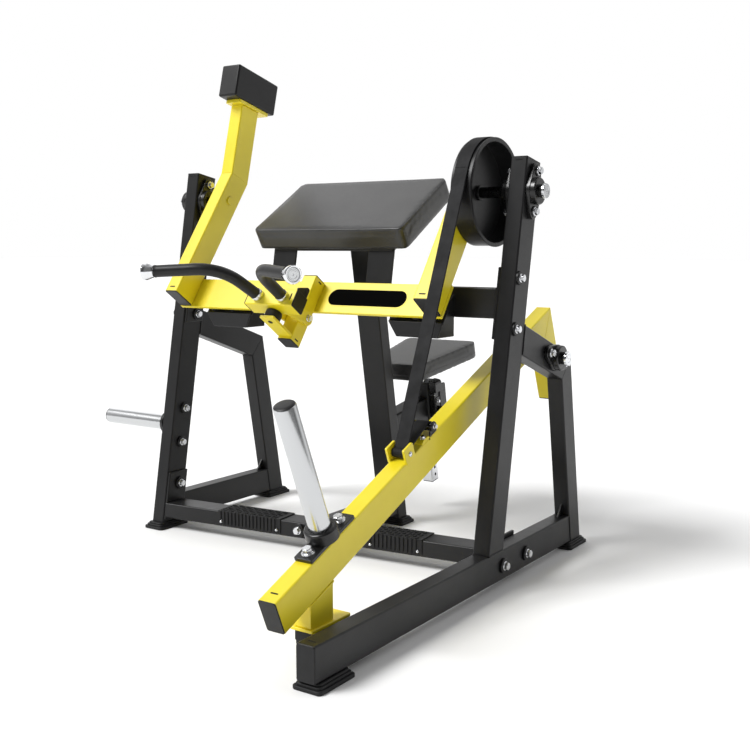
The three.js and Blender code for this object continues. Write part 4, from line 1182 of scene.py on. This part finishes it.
def inflate(obj, place, base, limit):
    """Remeshes the blank, blows it up as cloth, and keeps each point within limit of where it was."""
    remesh = obj.modifiers.new("remesh", "REMESH")
    remesh.mode = "VOXEL"
    remesh.voxel_size = 0.0045
    bake_modifiers(obj)
    rest = [v.co.copy() for v in obj.data.vertices]
    inverse = place.inverted()
    group = obj.vertex_groups.new(name="glued")
    group.add([v.index for v in obj.data.vertices if (inverse @ v.co).z < base + 4], 1.0, "REPLACE")
    cloth = obj.modifiers.new("cloth", "CLOTH")
    cloth.settings.quality = 6
    cloth.settings.vertex_group_mass = "glued"
    cloth.settings.use_pressure = True
    cloth.settings.uniform_pressure_force = 3.0
    cloth.settings.tension_stiffness = 40
    cloth.settings.compression_stiffness = 40
    cloth.settings.bending_stiffness = 10.0
    cloth.settings.effector_weights.gravity = 0
    cloth.point_cache.frame_start = 1
    cloth.point_cache.frame_end = 20
    scene = bpy.context.scene
    for number in range(1, 21):
        scene.frame_set(number)
    bake_modifiers(obj)
    for v, start in zip(obj.data.vertices, rest):
        step = v.co - start
        if step.length > limit:
            v.co = start + step.normalized() * limit
    scene.frame_set(1)


def seam(name, body, obj, route, depth, radius=1.1):
    """Piping laid on a cushion's surface along a closed route, given in the row frame."""
    tree = BVHTree.FromObject(obj, bpy.context.evaluated_depsgraph_get())
    points = []
    for p in route:
        spot, normal, _, _ = tree.find_nearest(p)
        points.append(spot + normal * depth)
    points.append(points[0])
    bm = swept([p / MM for p in points], radius, 10)
    piece(name, body, bm, LEATHER, Matrix.Scale(MM, 4), edge=0)


def soft_piece(name, body, node, outline, z, place, radius, limit):
    mesh = bpy.data.meshes.new(name)
    bm = soft_shell(outline, *z, place, radius)
    bm.to_mesh(mesh)
    bm.free()
    obj = bpy.data.objects.new(name, mesh)
    bpy.context.scene.collection.objects.link(obj)
    inflate(obj, place, z[0], limit)
    smooth = obj.modifiers.new("smooth", "SMOOTH")
    smooth.iterations = 3
    refine = obj.modifiers.new("refine", "SUBSURF")
    refine.levels = 1
    refine.render_levels = 1
    bake_modifiers(obj)
    obj.data.polygons.foreach_set("use_smooth", [True] * len(obj.data.polygons))
    settle(obj, body, LEATHER, [node])
    return obj


def densify(outline, step=6):
    points = []
    for a, b in zip(outline, outline[1:] + outline[:1]):
        a, b = Vector(a), Vector(b)
        count = max(1, int((b - a).length / step))
        points += [tuple(a.lerp(b, i / count)) for i in range(count)]
    return points


def build_arm_pad():
    outline = rounded_rectangle((-263, 263), (-1.5, 288.5), 18)
    pad = soft_piece("arm_pad_cushion", "root", "arm_pad", outline, (-64, 0.4), PAD, 3, 1.0 * MM)
    rim = rounded_rectangle((-261.5, 261.5), (0, 287), 16.5)
    seam("arm_pad_welt", "root", pad, [PAD @ Vector((x, y, 2)) for x, y in densify(rim)], -0.0003, 1.4)
    seam("arm_pad_hem", "root", pad, [PAD @ Vector((x, y, -61)) for x, y in densify(outline)], -0.0006, 1.0)
    low, high = (MACHINE.inverted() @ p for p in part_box("pad_frame"))
    board = plan_drawn(rounded_rectangle((low.x, high.x), (4, 250), 12), -72.3, -64.3)
    piece("pad_board", "root", board, BLACK, PAD, edge=1, stands_for=["pad_frame"])
    legs = [side_drawn([(850, 776.3), (858, 776.3), (877, 882), (869, 879)], x0, x1)
            for x0, x1 in ((130, 213), (-213, -130))]
    piece("pad_legs", "root", merged(legs), BLACK, edge=1.2)


def build_seat():
    top, thick = 453.4, 55
    outline = seat_outline()
    seat = soft_piece("seat_pad_cushion", "seat", "seat_cushion", outline,
                      (top - thick + 0.5, top - 0.4), SEAT, 3, 1.0 * MM)
    rim = [(x * 0.985, y * 0.988) for x, y in outline]
    seam("seat_welt", "seat", seat, [SEAT @ Vector((x, y, top + 1)) for x, y in densify(rim)], -0.0003, 1.4)
    side = top - thick * 0.66
    seam("seat_seam", "seat", seat, [SEAT @ Vector((x, y, side)) for x, y in densify(outline)], -0.0004)
    post = plan_drawn(rounded_rectangle((-20, 20), (-20, 20), 4), 0, 391)
    piece("seat_post_bar", "seat", post, CHROME, SEAT, edge=0.8, stands_for=["seat_post"])
    plate = plan_drawn(rounded_rectangle((-70, 70), (-100, 100), 8), 390.4, 398.1)
    piece("seat_plate", "seat", plate, BLACK, SEAT, edge=0.8)
    # The post's adjustment holes as thin dark discs: painted shade of their insides.
    disc = [(0, 20), (5.2, 20), (5.2, 20.2), (0, 20.2)]
    holes = [turned(disc, "X", (0, 0, z), 24) for z in range(20, 110, 25)]
    piece("seat_post_holes", "seat", merged(holes), HOLE_SHADE, SEAT, edge=0)
    cap = plan_drawn(rounded_rectangle((-19.6, 19.6), (-19.6, 19.6), 4), -2.5, 0.3)
    piece("seat_post_cap", "seat", cap, PLASTIC, SEAT, edge=0.8)
    build_seat_carrier()


def seat_outline():
    """A wedge-shaped seat with round corners, narrow at the front."""
    corners = [Vector(c) for c in ((-137.5, 150.5), (-99.5, -164.5), (99.5, -164.5), (137.5, 150.5))]
    radius = 26
    points = []
    for i, corner in enumerate(corners):
        before = (corners[i - 1] - corner).normalized()
        after = (corners[(i + 1) % 4] - corner).normalized()
        half = before.angle(after) / 2
        start, end = corner + before * radius / math.tan(half), corner + after * radius / math.tan(half)
        for k in range(9):
            t = k / 8
            points.append(tuple(start * (1 - t) ** 2 + corner * 2 * t * (1 - t) + end * t * t))
    return points


def build_seat_carrier():
    sleeve = plan_drawn(rounded_rectangle((-35, 35), (-28, 28), 6), 111, 346)
    piece("seat_sleeve", "root", sleeve, BLACK, SEAT, edge=1.2, stands_for=["seat_carrier"])
    collar = plan_drawn(rounded_rectangle((-36, 36), (-29, 29), 6), 343, 350)
    piece("seat_sleeve_bush", "root", collar, PLASTIC, SEAT, edge=1.2)
    arm = block((-30, 30), (-222.8, -27.5), (200, 300))
    piece("seat_arm", "root", arm, BLACK, SEAT, edge=1.5, grain_edge=5, segments=3)
    tab = front_drawn([(37, 316), (63, 316), (63, 344)] + arc((53, 344), 10, 0, 90, 6) + [(37, 356)], -20, 20)
    body = block((34, 58), (-23, 23), (232, 318))
    plate = side_drawn(rounded_rectangle((6, 44), (258, 338), 9), 57, 62)
    lug = side_drawn(rounded_rectangle((-20, 16), (228, 300), 8), 57, 60)
    piece("seat_pin_housing", "root", merged([tab, body, plate, lug]), GLOSS_BLACK, SEAT, edge=1.6,
          segments=3)
    trim = block((40, 58.6), (-23.6, -22), (308, 311))
    piece("seat_pin_trim", "root", trim, CHROME, SEAT, edge=0.4)
    fasten("seat_pin_housing", "root", [((60, -8, 286), (1, 0, 0), 6)], [], SEAT)
    pin = [(0, 21.2), (5.8, 21.2), (5.8, 44), (11, 44), (11, 60), (15, 62), (17, 66), (17, 76), (14.5, 80),
           (0, 80)]
    piece("seat_pin_knob", "seat_pin", turned(pin, "X", (0, 0, 250), 48), PLASTIC, SEAT, edge=0,
          stands_for=["seat_pin"])


add_camera()
add_studio()
build_side_frames()
build_feet()
build_mid_beam()
build_lower_crossbar()
build_foot_rests()
build_centre()
build_rest_stops()
build_bumper_and_horn()
build_bearings()
build_yoke()
build_belt()
build_handle()
build_lever()
build_arm_pad()
build_seat()
